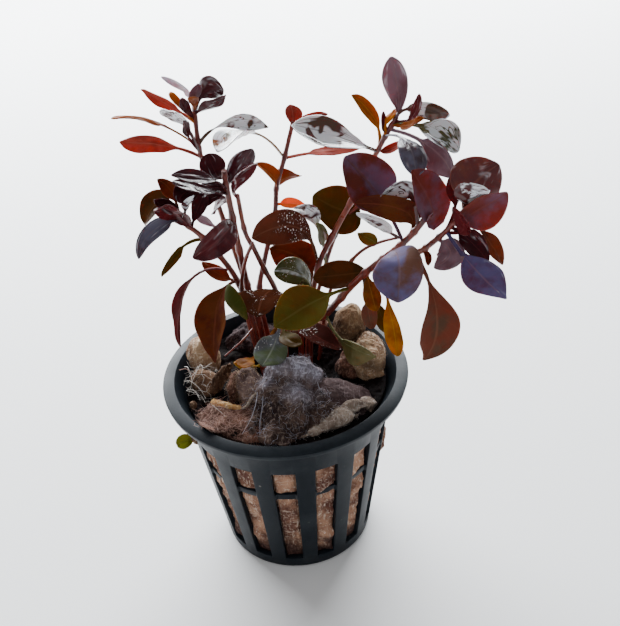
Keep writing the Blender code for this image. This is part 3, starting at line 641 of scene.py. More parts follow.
def leaf_material(name):
    """A leaf's skin: blotched blade, rib and side veins, thin rim, painted glare and water marks.

    Strong painted glare, the sky's pale reflection laid into the colour, is a pale sheet with dark lines
    through it, and weak painted glare is streaks.
    """
    blade, second, vein, roughness, marks, glare, glow = LEAF_FINISHES[name]
    book = NodeBook(f"leaf_{name}")
    along, across = book.leaf_place()
    from_rib = book.math("ABSOLUTE", book.math("SUBTRACT", across, 0.5))
    blotch = book.ramp(book.noise(150, detail=4), 0.4, 0.62)
    colour = book.mix(blotch, blade, second)
    slanted = book.math("SUBTRACT", along, book.times(from_rib, 0.38))
    wave = book.math("SINE", book.times(slanted, 46.0))
    side_veins = book.times(book.ramp(wave, 0.86, 1.0), 0.18)
    rib = book.ramp(from_rib, 0.04, 0.012)
    vein_share = book.times(book.math("MAXIMUM", rib, side_veins), 0.5)
    colour = book.mix(vein_share, colour, vein)
    rim = book.times(book.ramp(from_rib, 0.465, 0.495), 0.5)
    colour = book.mix(rim, colour, vein)
    rough = book.math("MULTIPLY_ADD", book.noise(420, detail=3), 0.14, roughness - 0.05)
    # Painted glare: the sky's pale reflection laid into the colour, a sheet with dark lines where the glare
    # is strong and streaks where it is weak
    if glare:
        streak = book.noise(1.0, detail=2, distortion=0.6, place=book.streak_place(along, across))
        if glare > 0.5:
            cover = 0.24 * glare
            painted_glare = book.ramp(book.noise(240, detail=2, distortion=0.5), 0.58 - cover, 0.66 - cover)
            off_middle = book.math("ABSOLUTE", book.math("SUBTRACT", streak, 0.5))
            painted_glare = book.times(painted_glare, book.ramp(off_middle, 0.004, 0.028))
        else:
            cover = 0.25 * glare
            painted_glare = book.ramp(streak, 0.60 - cover, 0.80 - cover)
            painted_glare = book.times(painted_glare, book.ramp(book.noise(260, detail=2), 0.40, 0.60))
        painted_glare = book.times(painted_glare, 0.3 + 0.7 * glare)
        painted_glare = book.times(painted_glare, book.ramp(along, 0.0, 0.06))
        colour = book.mix(painted_glare, colour, GLARE)
    if marks:
        cover = 0.16 * marks
        mark_place = book.ramp(book.noise(150, detail=3), 0.62 - cover, 0.74 - cover)
        speck = book.ramp(book.noise(2300, detail=2, roughness=0.6), 0.60, 0.67)
        mark = book.times(mark_place, speck)
        colour = book.mix(mark, colour, WATER_MARK)
    height = book.math("SUBTRACT", book.noise(700, detail=4), book.times(vein_share, 1.2))
    normal = book.bump(height, 0.3, distance=0.00022)
    book.shader.inputs["IOR"].default_value = 1.5
    matt = roughness > 0.55 and not glare
    book.shader.inputs["Specular IOR Level"].default_value = 0.0 if matt else 0.012 + 0.45 * glare
    book.shader.inputs["Coat Weight"].default_value = 0.5 * glare
    book.shader.inputs["Coat Roughness"].default_value = 0.08
    book.shader.inputs["Subsurface Weight"].default_value = glow
    book.shader.inputs["Subsurface Radius"].default_value = (1.0, 0.35, 0.15)
    book.shader.inputs["Subsurface Scale"].default_value = 0.0008
    return book.finish(colour, rough, normal)


def stem_material():
    """A stem's skin: glossy red-brown, with darker lengthwise streaks and lighter orange-red patches."""
    book = NodeBook("stem_skin")
    mapping = book.add("ShaderNodeMapping")
    mapping.inputs["Scale"].default_value = (1.0, 1.0, 0.12)
    book.link(book.object_place(), mapping.inputs["Vector"])
    streak = book.ramp(book.noise(1500, place=mapping.outputs[0]), 0.4, 0.65)
    colour = book.mix(streak, (0.17, 0.022, 0.012), (0.065, 0.009, 0.008))
    blotch = book.ramp(book.noise(130), 0.5, 0.7)
    colour = book.mix(book.times(blotch, 0.6), colour, (0.27, 0.06, 0.02))
    rough = book.math("MULTIPLY_ADD", book.noise(600), 0.2, 0.2)
    normal = book.bump(streak, 0.3, distance=0.0001)
    return book.finish(colour, rough, normal)


def pot_material(settings):
    """The pot's moulded plastic: blue-black, fine grain, dusty scuffs and specks of wool."""
    book = NodeBook("pot_plastic")
    grain = book.noise(2600, detail=3)
    dust = book.ramp(book.noise(90, detail=6, roughness=0.65), 0.45, 0.75)
    colour = book.mix(book.times(dust, 0.25), tuple(settings.pot_colour), (0.050, 0.060, 0.066))
    specks = book.times(book.ramp(book.spots(420), 0.16, 0.08), book.ramp(book.noise(60), 0.55, 0.7))
    colour = book.mix(book.times(specks, 0.5), colour, (0.2, 0.19, 0.17))
    rough = book.math("MULTIPLY_ADD", book.noise(300, detail=5), 0.2, 0.34)
    normal = book.bump(grain, 0.18, distance=0.0001)
    book.shader.inputs["Specular IOR Level"].default_value = 0.1
    return book.finish(colour, rough, normal)


# Wool finishes: main, deep and pale fibre colours; "shadow" is painted shadow, near-black wool for the shade
# on the core's top
WOOL_FINISHES = {
    "slot": ((0.40, 0.22, 0.14), (0.09, 0.036, 0.026), (0.70, 0.56, 0.45)),
    "tan": ((0.24, 0.15, 0.085), (0.07, 0.04, 0.024), (0.46, 0.34, 0.23)),
    "umber": ((0.15, 0.085, 0.052), (0.038, 0.020, 0.014), (0.38, 0.27, 0.18)),
    "front": ((0.118, 0.074, 0.058), (0.020, 0.011, 0.011), (0.34, 0.265, 0.22)),
    "mauve": ((0.21, 0.145, 0.125), (0.075, 0.045, 0.042), (0.42, 0.34, 0.32)),
    "plum": ((0.055, 0.033, 0.034), (0.014, 0.008, 0.009), (0.13, 0.095, 0.095)),
    "dusk": ((0.105, 0.070, 0.068), (0.050, 0.030, 0.030), (0.20, 0.15, 0.15)),
    "rust": ((0.19, 0.090, 0.060), (0.050, 0.022, 0.016), (0.42, 0.28, 0.22)),
    "bright": ((0.40, 0.27, 0.165), (0.15, 0.075, 0.045), (0.72, 0.60, 0.47)),
    "pale": ((0.30, 0.235, 0.185), (0.085, 0.052, 0.040), (0.56, 0.50, 0.45)),
    "straw": ((0.80, 0.54, 0.22), (0.40, 0.19, 0.07), (0.90, 0.76, 0.50)),
    "shadow": ((0.008, 0.004, 0.004), (0.002, 0.001, 0.001), (0.016, 0.010, 0.009)),
}
# Wool that changes with height: where the change starts and ends, and the two colours that it ends in.
# The front wool turns pale blue-grey towards its top, a painted highlight for the light from behind,
# and the slot wool turns darker towards the pot's foot
WOOL_GRADES = {
    "front": (0.0476, 0.0545, (0.22, 0.20, 0.235), (0.57, 0.57, 0.69)),
    "slot": (0.0125, 0.0055, (0.030, 0.014, 0.012), (0.090, 0.048, 0.036)),
}


def wool_material(name):
    """Matted mineral fibre: fine crossing strands over blotches of two depths of brown."""
    main, deep, pale = WOOL_FINISHES[name]
    book = NodeBook(f"wool_{name}")
    place = book.object_place()
    strands = []
    for turn, stretch in ((0.4, (1.0, 0.14, 0.5)), (1.7, (0.16, 1.0, 0.6)), (2.6, (0.5, 0.6, 0.13))):
        mapping = book.add("ShaderNodeMapping")
        mapping.inputs["Scale"].default_value = stretch
        mapping.inputs["Rotation"].default_value = (turn, turn * 0.7, turn * 1.3)
        book.link(place, mapping.inputs["Vector"])
        strands.append(book.noise(2600, detail=3, distortion=0.6, place=mapping.outputs[0]))
    fibre = book.math("MAXIMUM", book.math("MAXIMUM", strands[0], strands[1]), strands[2])
    blotch = book.ramp(book.noise(150, detail=5, roughness=0.6), 0.36, 0.66)
    colour = book.mix(blotch, deep, main)
    colour = book.mix(book.times(book.ramp(fibre, 0.56, 0.74), 0.75), colour, pale)
    # Colour by height: the front wool's painted highlight on top, and the slot wool darker towards the pot's
    # foot
    if name in WOOL_GRADES:
        start, end, graded, graded_pale = WOOL_GRADES[name]
        separate = book.add("ShaderNodeSeparateXYZ")
        book.link(place, separate.inputs[0])
        uneven = book.math("MULTIPLY_ADD", book.math("SUBTRACT", book.noise(140, detail=4), 0.5), 0.016,
                           separate.outputs["Z"])
        graded = book.mix(book.ramp(fibre, 0.52, 0.74), graded, graded_pale)
        colour = book.mix(book.ramp(uneven, start, end), colour, graded)
    height = book.math("ADD", fibre, book.times(book.noise(600, detail=5), 0.8))
    normal = book.bump(height, 0.8, distance=0.0005)
    book.shader.inputs["Specular IOR Level"].default_value = 0.08
    return book.finish(colour, 0.85, normal)


def fibre_material(name, colour):
    book = NodeBook(name)
    tint = book.mix(book.noise(500), tuple(part * 0.6 for part in colour), colour)
    book.shader.inputs["Specular IOR Level"].default_value = 0.3
    return book.finish(tint, 0.6)


class PlantSizes(bpy.types.PropertyGroup):
    """Sizes and colours of the pot, the wool and the plant."""

    lip_fall: FloatProperty(name="Lip fall", description="How far the lip falls to its outer edge",
                            default=0.0004, min=0, max=0.002, unit="LENGTH")
    wall_thickness: FloatProperty(name="Wall", description="Thickness of the pot's wall",
                                  default=0.0012, min=0.0005, max=0.003, unit="LENGTH")
    foot_radius: FloatProperty(name="Foot radius", description="Radius of the pot's foot",
                               default=0.0173, min=0.01, max=0.025, unit="LENGTH")
    wall_radius: FloatProperty(name="Wall radius", description="Radius of the wall, carried on up to the lip",
                               default=0.024, min=0.015, max=0.035, unit="LENGTH")
    collar_radius: FloatProperty(name="Collar radius", description="Radius of the collar under the lip",
                                 default=0.02525, min=0.015, max=0.035, unit="LENGTH")
    collar_height: FloatProperty(name="Collar height", description="Height where the collar starts to flare",
                                 default=0.0415, min=0.03, max=0.044, unit="LENGTH")
    slot_angle: IntProperty(name="Slot width", description="Width of a slot, in degrees about the pot",
                            default=13, min=5, max=25)
    slot_bottom: FloatProperty(name="Slot bottom", description="Height of the slots' lower end",
                               default=0.0035, min=0.001, max=0.01, unit="LENGTH")
    slot_top: FloatProperty(name="Slot top", description="Height of the slots' upper end",
                            default=0.0355, min=0.02, max=0.04, unit="LENGTH")
    crossbar_height: FloatProperty(name="Crossbar height", description="Height of the crossbar's foot",
                                   default=0.0263, min=0.01, max=0.035, unit="LENGTH")
    crossbar_width: FloatProperty(name="Crossbar width", description="Height of the crossbar itself",
                                  default=0.0017, min=0.0005, max=0.004, unit="LENGTH")
    pot_colour: FloatVectorProperty(name="Pot colour", description="Colour of the pot's plastic",
                                    default=(0.006, 0.009, 0.013), size=3, subtype="COLOR", min=0, max=1)
    leaf_thickness: FloatProperty(name="Leaf thickness", description="Thickness of a leaf at its rib",
                                  default=0.0004, min=0.0001, max=0.001, unit="LENGTH")
    leaf_wave: FloatProperty(name="Leaf wave", description="How far a leaf's edge waves",
                             default=0.0013, min=0, max=0.004, unit="LENGTH")
    fibre_share: FloatProperty(name="Fibres", description="How thickly the loose fibres lie",
                               default=1.0, min=0, max=3)


class StageSettings(bpy.types.PropertyGroup):
    """The floor, the lights and the camera."""

    floor_size: FloatProperty(name="Floor", description="Width of the floor", default=6.0,
                              min=1, max=20, unit="LENGTH")
    floor_colour: FloatVectorProperty(name="Floor colour", description="Colour of the floor",
                                      default=(0.9, 0.9, 0.9), size=3, subtype="COLOR", min=0, max=1)
    sky_strength: FloatProperty(name="Sky", description="Strength of the even light all round",
                                default=0.42, min=0, max=3)
    window_power: FloatProperty(name="Window", description="Power of the broad light behind the plant",
                                default=22.0, min=0, max=100)
    front_power: FloatProperty(name="Front", description="Power of the soft light in front",
                               default=1.3, min=0, max=100)


def spin_profile(name, points, steps):
    """Turn an open line of (radius, height) points about Z into a shell, its outside outwards."""
    deselect_all()
    bpy.ops.mesh.primitive_plane_add(size=1)
    shell = added(name)
    bpy.ops.object.mode_set(mode="EDIT")
    bpy.ops.mesh.select_mode(type="VERT")
    bpy.ops.mesh.select_all(action="SELECT")
    bpy.ops.mesh.merge(type="CENTER")
    bpy.ops.transform.translate(value=(points[0][0], 0, points[0][1]))
    for (radius, height), (last_radius, last_height) in zip(points[1:], points):
        bpy.ops.mesh.extrude_region_move(
            TRANSFORM_OT_translate={"value": (radius - last_radius, 0, height - last_height)})
    bpy.ops.mesh.select_all(action="SELECT")
    bpy.ops.mesh.spin(steps=steps, angle=math.tau, center=(0, 0, 0), axis=(0, 0, 1))
    bpy.ops.mesh.select_all(action="SELECT")
    bpy.ops.mesh.remove_doubles(threshold=MERGE_DISTANCE)
    bpy.ops.mesh.normals_make_consistent(inside=False)
    bpy.ops.object.mode_set(mode="OBJECT")
    outward = sum(face.normal.x * face.center.x + face.normal.y * face.center.y
                  for face in shell.data.polygons)
    if outward < 0:
        bpy.ops.object.mode_set(mode="EDIT")
        bpy.ops.mesh.flip_normals()
        bpy.ops.object.mode_set(mode="OBJECT")
    return shell


def turn_of(place):
    """Degrees about Z from the front towards the right."""
    return math.degrees(math.atan2(place.x, -place.y))


# How far the wool bulges into the slots, by turns about the pot: from, to, share
SLOT_WEIGHTS = ((-180, -40, 0.8), (-40, -16, 0.45), (-16, 7, 0.5), (7, 32, 1.15), (32, 180, 0.8))
SLOT_PITCH = 24
SLOT_FIRST_ANGLE = -4.5
# How much narrower than a slot, in degrees, the part of a crossbar that is set in and the bulging wool are
SLOT_SIDE_MARGIN = 1.5
FLOOR_SLOT_PITCH = 60
FLOOR_SLOT_SPREAD = 26
FLOOR_SLOT_INNER = 0.0065
FLOOR_SLOT_OUTER = 0.014
FLOOR_MIDDLE = 0.003
FOOT_EDGE = 0.0006
POT_STEPS = 360
# Further heights, between the ends of the slots, at which the wall has a row of faces' corners
WALL_ROWS_LOW = (0.009, 0.015, 0.021)
WALL_ROW_HIGH = 0.032
HEIGHT_MARGIN = 1e-5
# The crossbars' radius as a share of the wall's, and the rounding of the pot's edges
CROSSBAR_INSET = 0.978
EDGE_ROUNDING = 0.00022
EDGE_ANGLE = 50


def in_slot(place, width):
    """Whether a place lies in the turn that one of the slots takes."""
    offset = (turn_of(place) - SLOT_FIRST_ANGLE + SLOT_PITCH / 2) % SLOT_PITCH - SLOT_PITCH / 2
    return abs(offset) < width / 2


def wall_slope(sizes):
    """How much the wall's radius grows over a height of 1."""
    return (sizes.wall_radius - sizes.foot_radius) / (POT_HEIGHT - sizes.wall_thickness)


class PLANT_OT_pot(bpy.types.Operator):
    """Model the slotted net pot from a turned shell"""

    bl_idname = "plant.pot"
    bl_label = "Net Pot"

    def execute(self, context):
        sizes = context.scene.plant_sizes
        wall = sizes.wall_thickness
        under_lip = POT_HEIGHT - wall
        bar_top = sizes.crossbar_height + sizes.crossbar_width
        heights = [FOOT_EDGE, sizes.slot_bottom, *WALL_ROWS_LOW, sizes.crossbar_height, bar_top,
                   WALL_ROW_HIGH, sizes.slot_top, sizes.collar_height]
        points = [(0, 0), (FLOOR_MIDDLE, 0), (FLOOR_SLOT_INNER, 0), (FLOOR_SLOT_OUTER, 0),
                  (sizes.foot_radius - FOOT_EDGE, 0)]
        points += [(sizes.foot_radius + wall_slope(sizes) * height, height) for height in heights]
        points += [(sizes.collar_radius, under_lip), (LIP_RADIUS, under_lip - sizes.lip_fall)]
        pot = spin_profile("pot_shell", points, POT_STEPS)

        def slot_face(face):
            middle = face.center
            if middle.z < HEIGHT_MARGIN:
                radius = math.hypot(middle.x, middle.y)
                turn = (turn_of(middle) + FLOOR_SLOT_PITCH / 2) % FLOOR_SLOT_PITCH - FLOOR_SLOT_PITCH / 2
                return FLOOR_SLOT_INNER < radius < FLOOR_SLOT_OUTER and abs(turn) < FLOOR_SLOT_SPREAD / 2
            if not in_slot(middle, sizes.slot_angle):
                return False
            bar = sizes.crossbar_height < middle.z < bar_top
            return sizes.slot_bottom < middle.z < sizes.slot_top and not bar

        pick(pot, "FACE", slot_face)
        bpy.ops.mesh.delete(type="FACE")

        def crossbar_vertex(vertex):
            place = vertex.co
            at_bar = sizes.crossbar_height - HEIGHT_MARGIN < place.z < bar_top + HEIGHT_MARGIN
            return at_bar and in_slot(place, sizes.slot_angle - SLOT_SIDE_MARGIN)

        resize_where(pot, crossbar_vertex, (CROSSBAR_INSET, CROSSBAR_INSET, 1))
        solidify = pot.modifiers.new("wall", "SOLIDIFY")
        solidify.thickness = wall
        solidify.offset = -1
        solidify.use_even_offset = True
        bevel = pot.modifiers.new("edges", "BEVEL")
        bevel.width = EDGE_ROUNDING
        bevel.segments = 2
        bevel.limit_method = "ANGLE"
        bevel.angle_limit = math.radians(EDGE_ANGLE)
        apply_modifiers(pot)
        shade(pot, degrees=40)
        finish_piece(pot, pot_material(sizes))
        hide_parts("net_pot")
        return {"FINISHED"}


# Wool in the pot: the gap to the wall, rows up its side, rings over its top, and steps about it
WOOL_GAP = 0.00025
WOOL_ROWS = 90
WOOL_RINGS = 56
WOOL_STEPS = 360
# How far from a slot's ends the wool starts to bulge, how much of the top is uneven, and how far above
# the slots the wool turns dark with the painted shadow finish
SLOT_FOOT_MARGIN = 0.0006
SLOT_TOP_MARGIN = 0.0005
UNEVEN_SHARE = 0.97
SHADOW_RISE = 0.002
# Unevenness of the wool in the pot: clouds, their size and depth, how far they move it, zero level
CORE_LAYERS = {
    "slots": (("wool_bulge", 0.0048, 2, 0.0034, 0.3), ("wool_fine", 0.0009, 4, 0.0007, 0.45)),
    "top": (("wool_folds", 0.0036, 2, 0.0022, 0.6), ("wool_fine", 0.0009, 4, 0.0008, 0.5)),
}
# Wool on top of the pot: grabs that pull the soft surface up or down, as (x, y, radius, lift), in
# millimetres
WOOL_GRABS = (
    (1, 6, 12, -6.5), (8, 3, 8, -4.5), (-6, 6, 6, -3), (14, -2, 6, -4),
    (11, 9, 7, -2.5), (-20.5, -3, 4, -3), (-16, -6, 4, -2.5),
    (-3, -8, 6, 3.2), (2, -6.5, 7, 4.0), (-7, -7, 5, 2.6),
    (-12, -14.5, 7, 1.6), (12, -10, 6, 1.0),
    (-18.5, 9, 5, 2.0), (-8, 17, 7, 1.4), (2, 19, 6, 2.2), (11, 17, 6, 1.2), (19.5, 4, 4, 1.0),
)
# Closed lumps of wool: finish, middle and half sizes, turn in degrees, depth of the folds
WOOL_TUFTS = {
    "tuft_front": ("front", (0.2, -14.6, 42.2), (9.8, 6.6, 3.4), (17, 0, 0), 0.8),
    "tuft_front_slab": ("dusk", (12.1, -9.6, 43.4), (7.8, 5.2, 3.2), (14, 28, -6), 0.35),
    "tuft_left_pad": ("rust", (-12.8, -14.8, 42.4), (8.6, 6.8, 2.8), (8, 0, -42), 0.7),
    "tuft_middle_left": ("mauve", (-6.9, -6.6, 44.9), (3.6, 5.4, 4.4), (26, -12, 28), 0.8),
    "tuft_left": ("umber", (-17.4, -1.0, 43.9), (2.9, 3.0, 3.1), (0, 0, 10), 0.6),
    "tuft_far_left": ("bright", (-18.6, 8.2, 45.2), (3.9, 4.4, 4.8), (0, 0, 20), 0.28),
    "tuft_pebble": ("umber", (-20.3, -7.4, 43.6), (0.9, 1.0, 1.1), (0, 0, 0), 0.15),
    "tuft_right_high": ("tan", (15.2, 9.2, 49.6), (3.6, 4.0, 5.6), (0, 12, 0), 0.3),
    "tuft_right": ("bright", (19.0, 2.6, 45.2), (3.9, 4.6, 6.0), (0, 6, 12), 0.36),
    "tuft_right_inner": ("rust", (14.8, 4.6, 42.0), (2.8, 4.0, 3.0), (0, 0, 10), 0.6),
    "tuft_back": ("rust", (4, 19.0, 42.8), (8, 3.4, 3.0), (0, 0, 0), 0.8),
    "tuft_back_left": ("plum", (-8, 17.0, 42.6), (7, 4.2, 2.8), (0, 0, 25), 0.8),
    "tuft_slot_right": ("slot", (20.4, 2.2, 20.8), (1.35, 2.0, 5.0), (0, 9, 0), 0.5),
    "tuft_slot_left": ("umber", (-20.6, -7.4, 34.6), (1.6, 1.6, 2.4), (0, -9, 0), 0.35),
}
# Grabs that shape a lump further: place, shift and reach, in millimetres
TUFT_GRABS = {
    "tuft_right": (((19, 0, 48), (0.2, -0.8, 0.9), 2.6), ((19, -0.5, 45), (0, 1.2, -0.6), 2.2),
                   ((20.5, 0, 43), (0.4, -0.8, 0.3), 2.0)),
    "tuft_far_left": (((-19, 6, 49.5), (0, -0.4, 0.8), 2.5),),
}
TUFT_STANDS_FOR = {
    "tuft_left": "wool_left_tuft",
    "tuft_right_high": "wool_right_tuft",
}
# Folds of wool, each rolled along a line in millimetres: finish, half width, half height, depth of the
# folds, line
WOOL_FOLDS = {
    "fold_crest": ("front", 2.8, 2.8, 0.55, ((-8.6, -10.6, 45.2), (-4.8, -8.8, 47.2), (-1.6, -6.8, 49.5),
        (2.1, -6.2, 50.6), (6, -6.8, 48.4), (9.4, -8.4, 45.4))),
    "fold_veil": ("front", 1.6, 1.1, 0.6, ((-4.2, -9, 47.2), (-5.7, -12, 45.8), (-6.8, -15, 44.8),
        (-8, -18, 43.9), (-9, -20.1, 43.0))),
    "fold_face": ("front", 4.8, 2.4, 0.5, ((1.6, -6.8, 50.4), (0.4, -9.6, 48.6), (-0.6, -12.6, 46.4),
        (-1.2, -15.6, 44.2), (-1.5, -18.4, 42.4))),
    "fold_middle": ("front", 3.3, 2.3, 0.6, ((3.6, -7.4, 49.2), (3.0, -10.6, 47.8), (2.4, -13.6, 45.8),
        (2.8, -16.6, 44.0), (4.0, -19.4, 42.7))),
    "fold_right": ("front", 1.8, 1.7, 0.7, ((7.2, -8.6, 47.4), (7.9, -11.6, 46), (8.4, -14.4, 44.8),
        (9.2, -17, 43.8))),
    "fold_low": ("front", 2.2, 1.4, 0.7, ((-6.8, -18.4, 43.4), (-2.4, -20.2, 43.1), (2, -20.8, 42.9))),
    "fold_rolled": ("pale", 2.0, 1.5, 0.7, ((2.6, -20.7, 44.0), (5.6, -20, 44.6), (8.9, -18.4, 45.3),
        (12.1, -16.4, 45.5), (14.9, -15.6, 43.9))),
    "fold_rolled_high": ("pale", 1.7, 1.4, 0.6, ((11.2, -15.2, 45.3), (13.4, -14.4, 45.7),
        (15.6, -13.2, 45.3), (17.6, -12.2, 44.3), (18.4, -13, 42.8))),
    "fold_left_thin": ("umber", 0.6, 2.2, 0.5, ((-11.6, -0.8, 48.8), (-13, -2.4, 47.7),
        (-14.6, -3.8, 46.4), (-15.9, -5.6, 44.8))),
    "fold_left_second": ("rust", 1.0, 2.3, 0.6, ((-9.6, -2.6, 48), (-10.6, -4.6, 46.9),
        (-11.3, -6.8, 45.4), (-11.9, -8.7, 44.2))),
    "fold_yellow": ("straw", 0.9, 0.9, 0.4, ((-16.4, -7.8, 44.2), (-14.6, -9.2, 44.7),
        (-12.6, -10.3, 44.9), (-10.6, -11, 44.7), (-9, -11.6, 44.5))),
    "fold_strand": ("pale", 0.35, 0.35, 0.2, ((-10, -11.6, 44.9), (-8.4, -12, 46.1), (-7.2, -11, 47.4),
        (-5.8, -10, 48.3), (-3.6, -9, 50.6))),
}
# Sides of a roll, cuts along it, its size at places along it, how near a vertex counts as at such a
# place, and how far round it the size reaches
ROLL_SIDES = 48
ROLL_CUTS = 100
ROLL_SIZES = ((-0.5, 0.12), (-0.38, 0.8), (0.38, 0.8), (0.5, 0.12))
ROLL_RING = 0.006
ROLL_REACH = 0.16
# The lumps and folds that are grown together into the front mass, and the grain, softening and depth of
# folds of its skin
CLUMP_PARTS = ("tuft_front", "fold_crest", "fold_veil", "fold_face", "fold_middle", "fold_right", "fold_low")
CLUMP_GRAIN = 0.00024
CLUMP_SOFTENING = 10
CLUMP_FOLDS = 0.28
# Lumps that come out through a slot, so they aren't pressed back inside the wall
LIES_IN_SLOT = ("tuft_slot_right", "tuft_slot_left")
# Unevenness of the lumps and folds: size in the texture, and how far it moves the surface
FOLD_SIZE = 0.0052
FOLD_LIFT = 0.0046
CREASE_SIZE = 0.0038
CREASE_LIFT = 0.0012
LUMP_SIZE = 0.0016
LUMP_LIFT = 0.0010
FIBRE_SIZE = 0.0005
FIBRE_LIFT = 0.0003
# The room for the wool: its floor's height, how far it goes out and up from the lip, the height of its
# top, and the steps about it
LIMIT_FLOOR = 0.0015
LIMIT_OVERHANG = 0.0015
LIMIT_RISE = 0.003
LIMIT_TOP = 0.08
LIMIT_STEPS = 96


def wool_radius(sizes, height):
    """How far out from the pot's axis the wool goes inside the wall at a height."""
    return sizes.foot_radius - sizes.wall_thickness - WOOL_GAP + wall_slope(sizes) * height


def add_limit(piece, limit):
    """Press whatever of a piece sticks out through the pot's wall back inside it."""
    press = piece.modifiers.new("limit", "SHRINKWRAP")
    press.target = limit
    press.wrap_method = "NEAREST_SURFACEPOINT"
    press.wrap_mode = "INSIDE"


def make_limit(sizes):
    """The room that the wool may take: the inside of the pot, and the open space above the lip."""
    wide = LIP_RADIUS + LIMIT_OVERHANG
    points = [(0, LIMIT_FLOOR), (wool_radius(sizes, 0), LIMIT_FLOOR),
              (wool_radius(sizes, POT_HEIGHT), POT_HEIGHT), (wide, POT_HEIGHT + LIMIT_RISE),
              (wide, LIMIT_TOP), (0, LIMIT_TOP)]
    return spin_profile("wool_limit", points, LIMIT_STEPS)


class PLANT_OT_wool(bpy.types.Operator):
    """Model the mineral wool: the core that fills the pot, and the torn tufts on top of it"""

    bl_idname = "plant.wool"
    bl_label = "Mineral Wool"

    def execute(self, context):
        materials = {name: wool_material(name) for name in WOOL_FINISHES}
        self.make_core(context.scene.plant_sizes, materials)
        self.limit = make_limit(context.scene.plant_sizes)
        for name, (finish, middle, half, turn, folds) in WOOL_TUFTS.items():
            self.make_tuft(name, materials[finish], middle, half, turn, folds)
        for name, (finish, half_width, half_height, folds, line) in WOOL_FOLDS.items():
            self.make_fold(name, materials[finish], half_width, half_height, folds, line)
        self.make_clump(materials["front"])
        bpy.data.objects.remove(self.limit)
        return {"FINISHED"}

    def make_clump(self, material):
        """Grow the front lump and its folds together under one torn skin."""
        make_active(bpy.data.objects[CLUMP_PARTS[0]])
        for name in CLUMP_PARTS:
            bpy.data.objects[name].select_set(True)
        bpy.ops.object.join()
        clump = added("wool_clump")
        skin = clump.modifiers.new("skin", "REMESH")
        skin.mode = "VOXEL"
        skin.voxel_size = CLUMP_GRAIN
        soften = clump.modifiers.new("soften", "SMOOTH")
        soften.iterations = CLUMP_SOFTENING
        self.fold(clump, CLUMP_FOLDS)
        apply_modifiers(clump)
        shade(clump)
        finish_piece(clump, material)
        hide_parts("wool_front_tuft")

    def make_core(self, sizes, materials):
        low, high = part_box("wool_core")
        inner = wool_radius(sizes, 0)
        heights = [low.z + (high.z - low.z) * row / WOOL_ROWS for row in range(WOOL_ROWS + 1)]
        top = heights[-1]
        rim = wool_radius(sizes, top)
        points = [(0, low.z), (inner * 0.5, low.z)]
        points += [(wool_radius(sizes, height), height) for height in heights]
        points += [(rim * (1 - ring / WOOL_RINGS), top) for ring in range(1, WOOL_RINGS + 1)]
        core = spin_profile("wool_filling", points, WOOL_STEPS)

        def bulging(vertex, first, last):
            place = vertex.co
            if math.hypot(place.x, place.y) <= inner or not first < turn_of(place) <= last:
                return False
            between_ends = sizes.slot_bottom + SLOT_FOOT_MARGIN < place.z < sizes.slot_top - SLOT_TOP_MARGIN
            return between_ends and in_slot(place, sizes.slot_angle - SLOT_SIDE_MARGIN)

        def uneven_on_top(vertex):
            radius = math.hypot(vertex.co.x, vertex.co.y)
            return vertex.co.z > top - MERGE_DISTANCE and radius < UNEVEN_SHARE * rim

        for first, last, weight in SLOT_WEIGHTS:
            weigh(core, "slots", weight, lambda vertex: bulging(vertex, first, last))
        weigh(core, "top", 1, uneven_on_top)
        self.roughen(core, "slots")
        self.grab_top(core, top)
        self.roughen(core, "top")
        shade(core)
        finish_piece(core, materials["slot"])
        # The core above the slots takes the near-black painted shadow, for the shade under the tufts and the
        # plant
        core.data.materials.append(materials["shadow"])
        pick(core, "FACE", lambda face: face.center.z > sizes.slot_top + SHADOW_RISE)
        core.active_material_index = 1
        bpy.ops.object.material_slot_assign()
        bpy.ops.object.mode_set(mode="OBJECT")
        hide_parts("wool_core")

    def roughen(self, core, group):
        """Move a group of the core's vertices in and out by its layers of clouds."""
        for texture, size, depth, strength, level in CORE_LAYERS[group]:
            add_displace(core, cloud_texture(texture, size, depth), strength, group, mid_level=level)
        apply_modifiers(core)

    def grab_top(self, core, top):
        """Pull the top up and down by proportional grabs."""
        for x, y, radius, lift in WOOL_GRABS:
            grab(core, Vector((x * MM, y * MM, top)), Vector((0, 0, lift * MM)), radius * MM)

    def make_tuft(self, name, material, middle, half, turn, folds):
        deselect_all()
        bpy.ops.mesh.primitive_ico_sphere_add(subdivisions=6, radius=1)
        tuft = added(name)
        tuft.scale = Vector(half) * MM
        tuft.rotation_euler = [math.radians(angle) for angle in turn]
        tuft.location = Vector(middle) * MM
        apply_place(tuft)
        for place, shift, reach in TUFT_GRABS.get(name, ()):
            grab(tuft, Vector(place) * MM, Vector(shift) * MM, reach * MM)
        self.fold(tuft, folds)
        apply_modifiers(tuft)
        shade(tuft)
        if name not in CLUMP_PARTS:
            finish_piece(tuft, material)
        if name in TUFT_STANDS_FOR:
            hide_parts(TUFT_STANDS_FOR[name])

    def fold(self, piece, depth):
        """Fold, crease and roughen a piece's surface, and keep it within the room for the wool."""
        add_displace(piece, cloud_texture("tuft_folds", FOLD_SIZE, 1), FOLD_LIFT * depth)
        add_displace(piece, crease_texture("tuft_creases", CREASE_SIZE), CREASE_LIFT * depth)
        add_displace(piece, cloud_texture("tuft_lumps", LUMP_SIZE, 2), LUMP_LIFT * depth)
        add_displace(piece, cloud_texture("tuft_fibres", FIBRE_SIZE, 3), FIBRE_LIFT)
        if piece.name not in LIES_IN_SLOT:
            add_limit(piece, self.limit)

